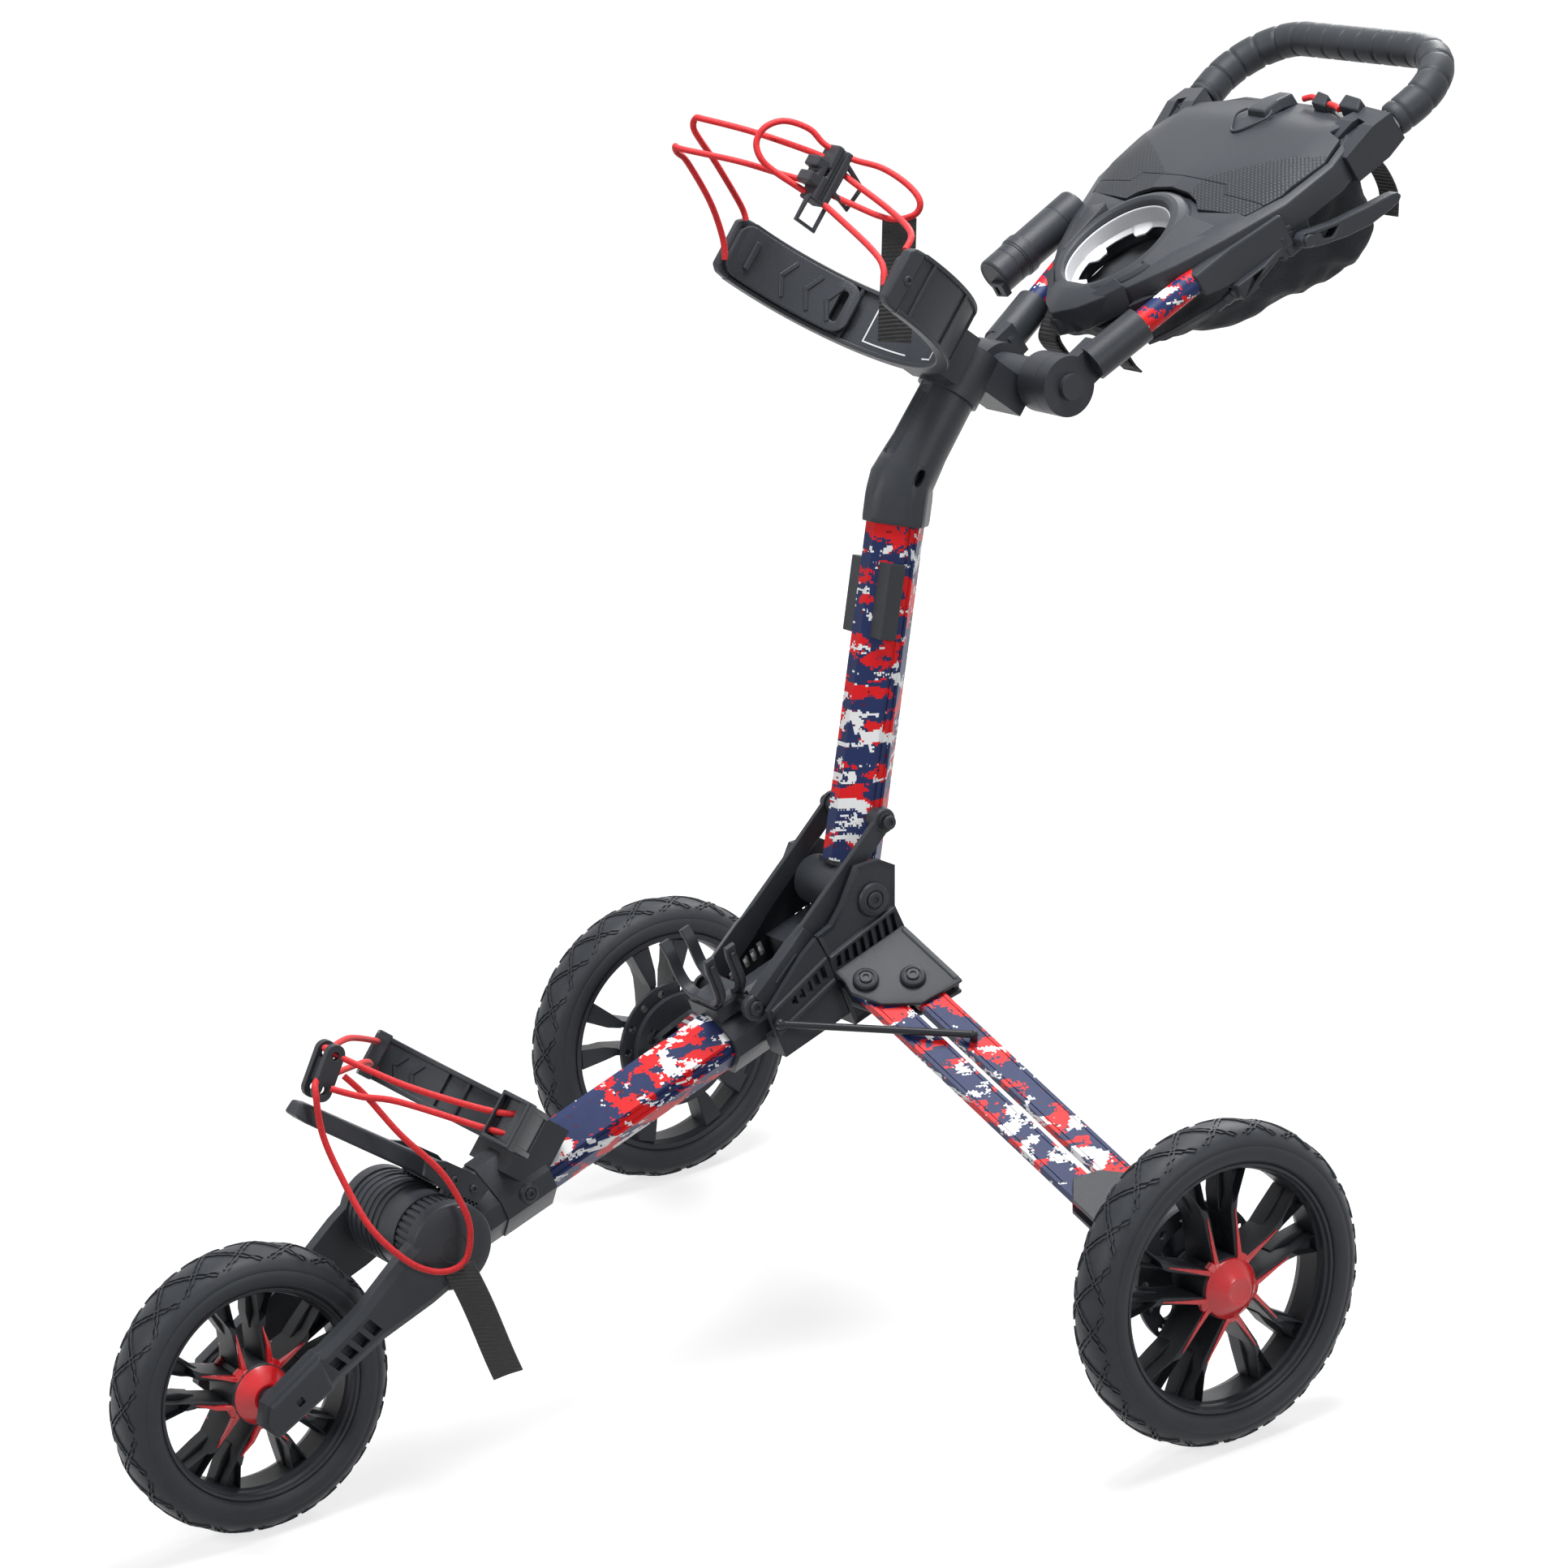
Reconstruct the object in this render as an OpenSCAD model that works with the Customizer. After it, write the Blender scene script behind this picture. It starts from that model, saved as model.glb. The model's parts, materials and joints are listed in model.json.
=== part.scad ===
// Three-wheel golf push trolley with folding frame, two bag cradles and a handle console.

/* [Wheels] */
// Outside diameter of a rear tyre
rear_wheel_d = 270; // [262:1:276]
// Outside diameter of the front tyre
front_wheel_d = 240; // [232:1:246]
// Width of a rear tyre
rear_tyre_w = 49; // [45:1:50]
// Width of the front tyre
front_tyre_w = 52; // [48:1:54]
// Radial depth of the tyres
tyre_depth = 31; // [29:1:34]
// Radial depth of the rim bands
rim_depth = 7; // [5:0.5:9]
// Distance between the middle planes of the two rear tyres
track = 840; // [836:1:850]
// Horizontal distance between the rear and front axles
wheel_base = 653; // [646:1:660]
// Diameter of the wheel axles
axle_d = 12; // [10:0.5:13]
// Outside diameter of the wheel bearings
bearing_d = 28; // [24:1:32]
// Diameter of the wheel hub barrels
hub_d = 60; // [56:1:66]
// Outside diameter of the brake ring on the inner side of a rear wheel
brake_ring_d = 120; // [112:1:130]

/* [Frame] */
// Height of the hub centre above the ground
hub_h = 330; // [328:1:332]
// Distance of the hub centre in front of the rear axle
hub_back = 54; // [52:1:56]
// Fall of the front tube toward the front wheel
tube_slope = 17.6; // [17.3:0.1:17.9]
// Width of the eight-sided tubes across the flats
tube_w = 51; // [50:0.2:51.4]
// Width of the four flats of the eight-sided tubes
tube_flat = 13; // [11:0.5:15]
// Wall of the eight-sided tubes
tube_wall = 2.5; // [2:0.1:3]
// Horizontal distance of the front axle ahead of the fork drum
fork_reach = 163.017; // [161:0.001:165]
// Inner face of the hub side plates from the middle plane
plate_in = 46; // [45.8:0.1:46.2]
// Thickness of the hub side plates
plate_t = 5; // [4.5:0.1:5.5]
// Length of the fork drum left ahead of the front tube's end
tube_short = 14; // [13:0.5:15]
// Distance of the lower cradle behind the fork drum
lower_back = 89; // [88:0.5:90]
// Height of the drum centre above the front tube axis
drum_rise = 17; // [15:1:19]
// Diameter of the fork drum
drum_d = 70; // [66:1:72]
// Diameter of the mast pivot pin
pivot_d = 10; // [8:0.5:11]

/* [Legs] */
// Distance of a leg's end from the middle plane of its tyre
leg_gap = 64.28; // [63.8:0.02:64.8]
// Height of a leg's end above the ground
leg_end_h = 161.18; // [160.6:0.02:161.8]
// Width of a leg bar
bar_w = 24; // [22:0.5:25]
// Thickness of a leg bar
bar_t = 9.7; // [9:0.1:10]
// Distance between the two bars of a leg
bar_pitch = 32; // [31:0.5:33]
// Offset of the two bar pivots along the leg
bar_stagger = 23; // [22:0.5:24]
// Diameter of the leg pivot screws
screw_d = 8; // [6:0.5:9]
// Diameter of the spreader rods
rod_d = 6.4; // [5:0.2:7]

/* [Fold slide] */
// Length of the sliding collar
collar_len = 100; // [98:0.5:102]
// Distance of the link foot ahead of the hub centre
foot_at = 115; // [114:0.5:116]
// Height of the link foot above the front tube axis
foot_up = 28; // [27:0.5:29]
// Thickness of a link bar
link_t = 5; // [4:0.2:5]
// Width of a link bar
link_w = 22; // [18:0.5:24]
// Height of the link bolt above the mast pivot along the mast
link_up = 65; // [64:0.5:66]

/* [Mast and head] */
// Height of the mast pivot above the hub centre
pivot_rise = 59; // [58.5:0.1:60]
// Backward lean of the mast
mast_lean = 15; // [14.8:0.1:15.2]
// Offset of the mast axis behind its pivot
mast_off = 9.5; // [9:0.1:10]
// Length of the mast from its pivot to the elbow
mast_len = 346; // [340:1:350]
// Backward lean of the head and of the bag axis
head_lean = 40; // [39.5:0.1:40.5]
// Diameter of the round head sleeve
head_d = 48; // [46:0.5:49]
// Radius of the upper bag cradle
upper_r = 128; // [124:1:132]
// Width of the cradle band of the upper cradle
upper_w = 54; // [50:1:58]
// Radius of the lower bag cradle
lower_r = 138; // [134:1:142]
// Width of the cradle band of the lower cradle
lower_w = 38; // [34:1:40]
// Length of the bag ledge bar
ledge_len = 176; // [165:1:185]

/* [Handle] */
// Distance of the handle pivot behind the head axis
yoke_back = 60; // [59:0.5:61]
// Distance of the handle pivot above the elbow along the head
yoke_up = 135; // [134:0.5:136]
// Rise of the handle plane toward the rear
handle_rise = 29.7; // [29:0.1:30.4]
// Diameter of the handle tube
handle_d = 22; // [20:0.5:22]
// Outside diameter of the grip
grip_d = 31; // [28:0.5:34]
// Distance of the grip bar from the handle pivot
loop_s = 448; // [440:1:460]
// Outward splay of each handle arm
arm_splay = 11; // [10.6:0.1:11.4]
// Bend radius of the grip loop
bend_r = 60; // [55:1:62]
// Diameter of the cup hole
cup_d = 88; // [80:1:92]
// Thickness of the console body
console_t = 24; // [22:0.5:26]
// Thickness of the console lid
lid_t = 3; // [2:0.2:4]
// Diameter of the closed umbrella holder beside the console
holder_d = 35; // [32:0.5:36]

/* [Cords] */
// Diameter of the elastic bag cords
cord_d = 5.4; // [4.6:0.2:6]

/* [Clearances] */
// Radial running clearance of pins and axles
run = 0.05; // [0.03:0.01:0.08]
// Side gap between neighbouring moving pieces
gap = 0.3; // [0.3:0.05:0.4]

/* [Hidden] */
$fn = 64;
handle_end = hub_reach();
rear_y = (wheel_base + front_wheel_d / 2 - handle_end) / 2;
ts = tube_slope;
lean_t = mast_lean + tube_slope;
piv_t = [pivot_rise * sin(ts), pivot_rise * cos(ts)];
link_top = [piv_t[0] + mast_off * cos(lean_t) + link_up * sin(lean_t),
            piv_t[1] - mast_off * sin(lean_t) + link_up * cos(lean_t)];
link_dy = link_top[0] + foot_at;
link_dz = link_top[1] - foot_up;
link_len = sqrt(link_dy * link_dy + link_dz * link_dz);
link_ang = atan2(link_dz, link_dy);
lug_x = plate_in - 2 * gap - link_t - 4.7;
link_x = lug_x + gap;
head_x = link_x + link_t;
drum_at = (wheel_base - hub_back - fork_reach - drum_rise * sin(ts)) / cos(ts);
tube_len = drum_at - tube_short;
drum_y = rear_y - hub_back - drum_at * cos(ts) - drum_rise * sin(ts);
drum_z = hub_h - drum_at * sin(ts) + drum_rise * cos(ts);
fork_dy = drum_y - rear_y + wheel_base;
fork_dz = drum_z - front_wheel_d / 2;
fork_len = sqrt(fork_dy * fork_dy + fork_dz * fork_dz);
fork_ang = atan2(fork_dz, fork_dy);
fork_in = 50;
fork_t = 12;
leg_x = 120;
leg_fwd = 10;
leg_low = 32.3;
leg_run = track / 2 - leg_gap - leg_x;
leg_fall = (hub_h - leg_end_h - leg_fwd * sin(ts)) / cos(ts) - leg_low;
leg_len = sqrt(leg_run * leg_run + leg_fall * leg_fall);
leg_drop = atan2(leg_fall, leg_run);
piv_f = [-62, -bar_pitch / 2];
piv_r = [-62 + bar_stagger, bar_pitch / 2];
bar_top = bar_t / 2;
flange_t = 4.5;
rod_c = [-77, -97, 4];
rod_q = [piv_r[0] + 79.07, piv_r[1] - 2, 13];
lower_at = drum_at - lower_back;
cable_d = 5;
cable_pts = [[120, 145, -36], [116, 130, -40], [106, 112, -45], [96, 92, -48],
             [86, 62, -47], [80, 40, -44], [77, 28, -41]];
cradle_t = 5;
arm_x = 60;
catch_x = tube_w / 2 + 3;
disc_in = 52;
console_s = 54;
console_n = 25;
console_drop = 3;
bend_s = loop_s - bend_r;
bend_x = arm_x + (bend_s - bend_r * sin(arm_splay)) * tan(arm_splay) - bend_r * cos(arm_splay);
arm_run = (bend_s - bend_r * sin(arm_splay)) / cos(arm_splay);
console_out = [[0, 0], [30, 12], [56, 37], [84, 82], [106, 122], [130, 174], [136, 228],
               [124, 264], [107, 286], [60, 305], [0, 310], [-60, 305], [-107, 286],
               [-124, 264], [-136, 228], [-130, 174], [-106, 122], [-84, 82], [-56, 37], [-30, 12]];
tray_out = [[104, 158], [116, 182], [120, 224], [100, 270], [56, 290], [-56, 290],
            [-100, 270], [-120, 224], [-116, 182], [-104, 158]];
plate_out = [[15, 91], [37, 85], [49, 72], [35, 40], [36.5, 12], [39, 2], [36, -34],
             [-41, -34], [-41, 38], [-43, 57], [-27, 58], [-11, 68]];
flange_out = [[-90, -30.4], [-73, -30.4], [-60, -34], [-35, -22], [-14, 4], [-10, 46], [-90, 46]];

function hub_reach() = -hub_back + mast_off * cos(mast_lean) + mast_len * sin(mast_lean)
    + yoke_back * cos(head_lean) + yoke_up * sin(head_lean)
    + loop_s * cos(handle_rise) + grip_d / 2;
function unit(v) = v / norm(v);
function run_dir(p, i) = unit(p[min(i + 1, len(p) - 1)] - p[max(i - 1, 0)]);
function carry(p, i, n) = i == len(p) ? []
    : let (d = run_dir(p, i), m = unit(n - (n * d) * d)) concat([m], carry(p, i + 1, m));
upper_a = [[-116, -184, 134], [-116, -196, 142], [-106, -242, 156], [-100, -268, 162], [-94, -284, 166],
           [-88, -290, 172], [-80, -286, 174], [-48, -256, 182], [-8, -216, 188], [0, -204, 186],
           [8, -192, 182], [50, -170, 170], [100, -174, 152], [114, -180, 134]];
upper_b = [[-116, -184, 96], [-116, -196, 110], [-112, -226, 128], [-104, -268, 142], [-98, -284, 142],
           [-92, -292, 144], [-86, -288, 144], [-50, -258, 154], [-26, -232, 160], [-8, -214, 164],
           [4, -194, 164], [18, -182, 164], [38, -168, 164], [50, -158, 168], [60, -152, 178],
           [62, -156, 188], [50, -166, 196], [30, -182, 200], [8, -198, 197], [-6, -218, 197],
           [-14, -234, 202], [-24, -252, 198], [-30, -262, 186], [-32, -262, 172], [-28, -254, 162],
           [-22, -240, 158], [0, -208, 154], [26, -196, 146], [98, -188, 120], [114, -182, 100]];
lower_a = [[-112, -96, 52], [-106, -108, 54], [-40, -176, 44], [-10, -206, 30], [2, -218, 26],
           [12, -204, 26], [50, -164, 30], [94, -118, 42], [112, -96, 52]];
lower_b = [[-112, -94, 34], [-104, -106, 34], [-46, -150, 32], [-4, -198, 10], [10, -216, 0],
           [19, -216, -10], [22, -196, -34], [32, -170, -56], [55, -136, -82], [68, -100, -92],
           [72, -74, -90], [77, -60, -80], [78, -56, -66], [78, -68, -44], [72, -88, -28],
           [62, -110, -16], [42, -144, -6], [22, -176, 8], [10, -196, 14]];
lower_c = [[18, -206, 0], [30, -184, 6], [50, -164, 16], [94, -116, 28], [112, -94, 34]];

module eight(w) {
  f = tube_flat * w / tube_w / 2;
  h = w / 2;
  polygon([[f, -h], [h, -f], [h, f], [f, h], [-f, h], [-h, f], [-h, -f], [-f, -h]]);
}
module xcyl(r, x0, x1) {
  translate([x0, 0, 0]) rotate([0, 90, 0]) cylinder(r = r, h = x1 - x0);
}
module box(a, b) {
  translate(a) cube([b[0] - a[0], b[1] - a[1], b[2] - a[2]]);
}
module both() {
  children();
  mirror([1, 0, 0]) children();
}
module fan() {
  children();
  mirror([0, 1, 0]) children();
}
module side(s) {
  mirror([s < 0 ? 1 : 0, 0, 0]) children();
}
module ahead(a, b) {
  translate([0, -a, 0]) rotate([90, 0, 0]) linear_extrude(b - a) children();
}
module across(x0, x1) {
  translate([x0, 0, 0]) rotate([90, 0, 90]) linear_extrude(x1 - x0) children();
}
module channel(r, w) {
  polygon([[r - 9, 0], [r, 0], [r, w], [r - 9, w], [r - 9, w - 4], [r - cradle_t, w - 4],
           [r - cradle_t, 4], [r - 9, 4]]);
}
module at_tube() {
  translate([0, rear_y - hub_back, hub_h]) rotate([ts, 0, 0]) children();
}
module at_mast() {
  translate([0, rear_y - hub_back, hub_h + pivot_rise]) rotate([-mast_lean, 0, 0]) children();
}
module at_head() {
  at_mast() translate([0, mast_off, mast_len]) rotate([mast_lean - head_lean, 0, 0]) children();
}
module at_handle() {
  at_head() translate([0, yoke_back, yoke_up]) rotate([head_lean + handle_rise, 0, 0]) children();
}
module at_console() {
  at_handle() translate([0, console_s, console_n]) rotate([-console_drop, 0, 0]) children();
}
module at_leg() {
  at_tube() translate([leg_x, -leg_fwd, -leg_low]) rotate([0, leg_drop, 0]) children();
}
module at_lower() {
  at_tube() translate([0, -lower_at, 0]) rotate([-head_lean - ts, 0, 0]) children();
}
module at_fork() {
  translate([0, drum_y, drum_z]) rotate([fork_ang, 0, 0]) children();
}
module at_rear() {
  translate([track / 2, rear_y, rear_wheel_d / 2]) children();
}
module at_front() {
  translate([0, rear_y - wheel_base, front_wheel_d / 2]) children();
}

module front_tube() {
  color("#23345e") at_tube() difference() {
    ahead(-12, tube_len) difference() {
      eight(tube_w);
      eight(tube_w - 2 * tube_wall);
    }
    both() for (z = [-3, 3]) box([tube_w / 2 - 0.8, -tube_len - 1, z - 1], [tube_w / 2 + 1, 13, z + 1]);
  }
}
module hub_plate() {
  difference() {
    union() {
      at_tube() across(plate_in, plate_in + plate_t) polygon(plate_out);
      at_leg() {
        translate([0, 0, bar_top + gap]) linear_extrude(flange_t) polygon(flange_out);
        translate([0, 0, -bar_top - gap - flange_t]) linear_extrude(flange_t) polygon(flange_out);
        box([-90, 40, -bar_top - gap - flange_t], [-12, 46, bar_top + gap + flange_t]);
      }
    }
    at_tube() {
      box([plate_in - 80, -90, -90], [plate_in, 90, 90]);
      translate([0, piv_t[0], piv_t[1]]) xcyl(pivot_d / 2 + run, plate_in - 1, plate_in + plate_t + 1);
      for (i = [0 : 7])
        box([plate_in - 1, -36 + i * 8.6, 21 - i], [plate_in + plate_t + 1, -31 + i * 8.6, 31 + 0.6 * i]);
    }
    at_leg() for (p = [piv_f, piv_r]) translate([p[0], p[1], -40]) cylinder(d = screw_d + 2 * run, h = 80);
  }
}
module hub_plate_left() {
  color("#2b2d31") side(1) hub_plate();
}
module hub_plate_right() {
  color("#2b2d31") side(-1) hub_plate();
}
module hub_core() {
  color("#232528") at_tube() difference() {
    box([-plate_in + 0.1, -41, -34], [plate_in - 0.1, 35, 32.5]);
    ahead(-12.2, 50) eight(tube_w + 0.4);
  }
}
module frame_pins() {
  color("#8e9297") {
    at_tube() translate([0, piv_t[0], piv_t[1]]) {
      xcyl(pivot_d / 2, -plate_in - plate_t, plate_in + plate_t);
      both() xcyl(pivot_d / 2 + 4, plate_in + plate_t, plate_in + plate_t + 3);
    }
    translate([0, drum_y, drum_z]) {
      xcyl(6, -fork_in - fork_t, fork_in + fork_t);
      both() xcyl(10, fork_in + fork_t + 0.1, fork_in + fork_t + 3);
    }
  }
}
module frame_screws() {
  color("#3a3c40") {
    both() at_leg() for (p = [piv_f, piv_r]) translate([p[0], p[1], 0]) {
      translate([0, 0, -bar_top - gap - flange_t - 3])
        cylinder(d = screw_d, h = bar_t + 2 * gap + 2 * flange_t + 4);
      translate([0, 0, bar_top + gap + flange_t]) cylinder(d = screw_d + 6, h = 3);
      translate([0, 0, -bar_top - gap - flange_t - 3]) cylinder(d = screw_d + 5, h = 3);
    }
    both() at_tube() translate([0, -lower_at, 2]) xcyl(5, 34, 37);
  }
}
module drum_housing() {
  color("#26282b") difference() {
    union() {
      translate([0, drum_y, drum_z]) {
        xcyl(drum_d / 2, -fork_in + gap, 28);
        xcyl(20, 20, fork_in - gap);
      }
      difference() {
        at_tube() ahead(drum_at - 40, drum_at - 10) eight(tube_w + 10);
        translate([0, drum_y, drum_z]) both() xcyl(drum_d / 2 + 2, 28, fork_in + fork_t);
      }
    }
    at_tube() ahead(drum_at - 60, tube_len + 0.3) eight(tube_w + 0.4);
    translate([0, drum_y, drum_z]) xcyl(6 + run, -80, 80);
  }
}
module tracking_dial() {
  color("#1d1e20") translate([0, drum_y, drum_z]) difference() {
    xcyl(drum_d / 2 - 1, 28 + gap, fork_in - gap);
    xcyl(20 + run, 20, 80);
    for (i = [0 : 35]) rotate([i * 10, 0, 0]) box([20, -1.2, drum_d / 2 - 2.5], [60, 1.2, drum_d / 2 + 2]);
  }
}
module fork_arms() {
  color("#2b2d31") both() difference() {
    union() {
      translate([0, drum_y, drum_z]) xcyl(drum_d / 2 + 1, fork_in, fork_in + fork_t);
      at_fork() {
        across(fork_in + 0.6, fork_in + fork_t - 0.8)
          polygon([[9, 30], [-40, 26], [-90, 17], [-fork_len - 8, 13], [-fork_len - 22, 2],
                   [-fork_len - 18, -13], [-90, -17], [-40, -26], [9, -30]]);
        translate([0, -fork_len, 0]) xcyl(15, fork_in - 5, fork_in + fork_t);
      }
    }
    translate([0, drum_y, drum_z]) xcyl(6 + run, fork_in - 9, 80);
    at_fork() translate([0, -fork_len, 0]) xcyl(axle_d / 2 + run, fork_in - 9, 80);
    for (i = [0 : 3]) at_fork()
      box([fork_in + fork_t - 4, -104 - i * 13, -6], [fork_in + fork_t + 1, -97 - i * 13, 6]);
  }
}
module lower_cradle() {
  color("#232528") difference() {
    union() {
      at_lower() {
        translate([0, -26 - lower_r, 24]) {
          rotate([0, 0, 30]) rotate_extrude(angle = 120) channel(lower_r, lower_w);
          both() rotate([0, 0, 30]) box([lower_r - 9.5, -4, -0.5], [lower_r + 1, 0.5, lower_w + 0.5]);
          both() rotate([0, 0, 31]) rotate_extrude(angle = 26)
            translate([lower_r - 8.6, 3]) square([4.2, lower_w - 6]);
        }
        box([-30, -28, 6], [30, 8, 23 + lower_w]);
      }
      at_tube() ahead(lower_at - 25, lower_at + 25) eight(tube_w + 17);
    }
    at_tube() ahead(lower_at - 80, lower_at + 80) eight(tube_w + 0.4);
  }
}
module bag_ledge() {
  color("#2b2d31") at_tube() difference() {
    union() {
      ahead(lower_at + 25, lower_at + 43) eight(tube_w + 14);
      translate([0, -lower_at - 37, 26]) rotate([-54.5, 0, 0]) {
        box([-15, -ledge_len, -9], [15, 0, 9]);
        box([-32, -34, -10], [32, -6, 8]);
      }
    }
    ahead(lower_at + 20, lower_at + 60) eight(tube_w + 0.4);
    box([-80, -lower_at - 25, -80], [80, -lower_at + 60, 200]);
    translate([0, -drum_at, drum_rise]) xcyl(drum_d / 2 + 1, -80, 80);
    ahead(drum_at - 40.3, drum_at) eight(tube_w + 10.6);
  }
}
module collar() {
  y0 = -41 - gap;
  y1 = y0 - collar_len;
  color("#26282b") at_tube() difference() {
    union() {
      ahead(-y0, -y1) eight(tube_w + 11);
      both() {
        across(plate_in, plate_in + plate_t)
          polygon([[y0, -20], [y0, 37], [y0 - 3, 56], [y0 - 20, 50], [y0 - 70, 24], [y0 - 70, -20]]);
        box([tube_w / 2 + 2, y0 - 70, -22], [plate_in + plate_t, y0, -4]);
      }
      translate([0, -foot_at, foot_up]) xcyl(7.5, -lug_x, lug_x);
      box([-22, y1, 24], [22, y1 + 34, 35.7]);
    }
    ahead(0, 200) eight(tube_w + 2 * gap + 0.2);
    both() for (i = [0 : 4])
      box([plate_in - 1, y0 - 11 - i * 8.6, 18 - i], [plate_in + plate_t + 1, y0 - 6 - i * 8.6, 30 - 2 * i]);
  }
}
module fold_clip() {
  y1 = -41 - gap - collar_len;
  w = catch_x + 2 * gap;
  color("#1f2022") at_tube() {
    box([-w - 4, y1 + 1, 35.9], [w + 4, y1 + 33, 40]);
    both() for (y = [y1 + 1, y1 + 23]) {
      box([w, y, 36], [w + 4, y + 10, 86]);
      box([w + 3, y, 82], [w + 6, y + 10, 86]);
    }
  }
}
module fold_links() {
  color("#26282b") both() at_tube() difference() {
    union() {
      translate([0, -foot_at, foot_up]) {
        rotate([link_ang, 0, 0])
          box([link_x, 6, -link_w / 2 + 2], [link_x + link_t, link_len - 6, link_w / 2 - 2]);
        xcyl(link_w / 2, link_x, link_x + link_t);
        xcyl(6, link_x + link_t - 1, link_x + link_t + 3);
      }
      translate([0, link_top[0], link_top[1]]) xcyl(link_w / 2, link_x, link_x + link_t);
    }
    translate([0, link_top[0], link_top[1]]) xcyl(4 + run, link_x - 1, link_x + link_t + 1);
  }
}
module mast_tube() {
  color("#23345e") at_mast() difference() {
    translate([0, mast_off, 24]) linear_extrude(mast_len - 27) difference() {
      eight(tube_w);
      eight(tube_w - 2 * tube_wall);
    }
    translate([0, mast_off, link_up]) xcyl(4 + run, -60, 60);
    translate([0, mast_off, 0]) both() for (y = [-3, 3])
      box([tube_w / 2 - 0.8, y - 1, 0], [tube_w / 2 + 1, y + 1, mast_len]);
  }
}
module mast_foot() {
  color("#232528") at_mast() difference() {
    union() {
      xcyl(21.5, -lug_x, lug_x);
      box([-20, -10, 0], [20, 29, 23.9]);
      translate([0, mast_off, 20]) linear_extrude(70) eight(tube_w - 2 * tube_wall - 0.4);
      translate([0, mast_off, link_up]) {
        xcyl(4, -head_x - gap, head_x + gap);
        both() xcyl(9, tube_w / 2 + 0.05, lug_x);
        both() xcyl(7, head_x + gap, head_x + gap + 3);
      }
    }
    xcyl(pivot_d / 2 + run, -80, 80);
  }
}
module elbow_sleeve() {
  color("#2b2d31") difference() {
    union() {
      at_mast() translate([0, mast_off, mast_len - 34]) linear_extrude(34) eight(tube_w + 8);
      at_head() {
        sphere(r = tube_w / 2 + 3);
        cylinder(d = head_d, h = 112);
        for (z = [30, 40, 50]) translate([0, 0, z]) cylinder(d = head_d + 2, h = 5);
      }
    }
    at_mast() translate([0, mast_off, mast_len - 60]) linear_extrude(57.3) eight(tube_w + 0.4);
  }
}
module head_collar() {
  color("#232528") at_head() difference() {
    union() {
      translate([0, 0, 84]) cylinder(d = head_d + 7, h = 44);
      box([-32, -41.7, 88], [32, -18, 132]);
      translate([0, yoke_back, yoke_up]) {
        xcyl(18, -30, 30);
        both() xcyl(26, 28, disc_in);
        xcyl(6, -disc_in - 20, disc_in + 20);
        both() xcyl(11, disc_in + 15, disc_in + 20);
      }
      box([-24, 14, 100], [24, yoke_back, 128]);
    }
    translate([0, 0, 83]) cylinder(d = head_d + 0.2, h = 29.3);
  }
}
module upper_cradle() {
  color("#26282b") at_head() translate([0, -42 - upper_r, 84]) {
    rotate_extrude(angle = 180) channel(upper_r, upper_w);
    both() box([upper_r - 9, -15, 0], [upper_r, 0.5, upper_w]);
  }
}
module cradle_pads() {
  color("#1a1b1d") {
    at_head() translate([0, -42 - upper_r, 84]) both() {
      rotate_extrude(angle = 55) translate([upper_r - 14, 6]) square([4.7, upper_w - 12]);
      box([upper_r - 14, -15, 6], [upper_r - 9.3, 0, upper_w - 6]);
    }
  }
}
module mast_clips() {
  color("#1d1e20") at_mast() translate([0, mast_off, 0]) both() difference() {
    box([12, -20, 216], [catch_x, -4, 280]);
    translate([0, 0, 200]) linear_extrude(100) eight(tube_w + 0.1);
  }
}
module leg_bar(p) {
  at_leg() difference() {
    translate([p[0], p[1], -bar_top]) union() {
      cylinder(d = bar_w, h = bar_t);
      translate([leg_len, 0, 0]) cylinder(d = bar_w, h = bar_t);
      translate([0, -bar_w / 2, 0]) cube([leg_len, bar_w, bar_t]);
    }
    for (x = [0, leg_len]) translate([p[0] + x, p[1], -50]) cylinder(d = screw_d + 2 * run, h = 100);
    for (y = [-bar_w / 2 + 3, bar_w / 2 - 4])
      box([p[0] + 20, p[1] + y, bar_top - 0.8], [p[0] + leg_len - 20, p[1] + y + 1, bar_top + 1]);
  }
}
module leg_front_bar_left() {
  color("#23345e") side(1) leg_bar(piv_f);
}
module leg_front_bar_right() {
  color("#23345e") side(-1) leg_bar(piv_f);
}
module leg_rear_bar_left() {
  color("#23345e") side(1) leg_bar(piv_r);
}
module leg_rear_bar_right() {
  color("#23345e") side(-1) leg_bar(piv_r);
}
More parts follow.
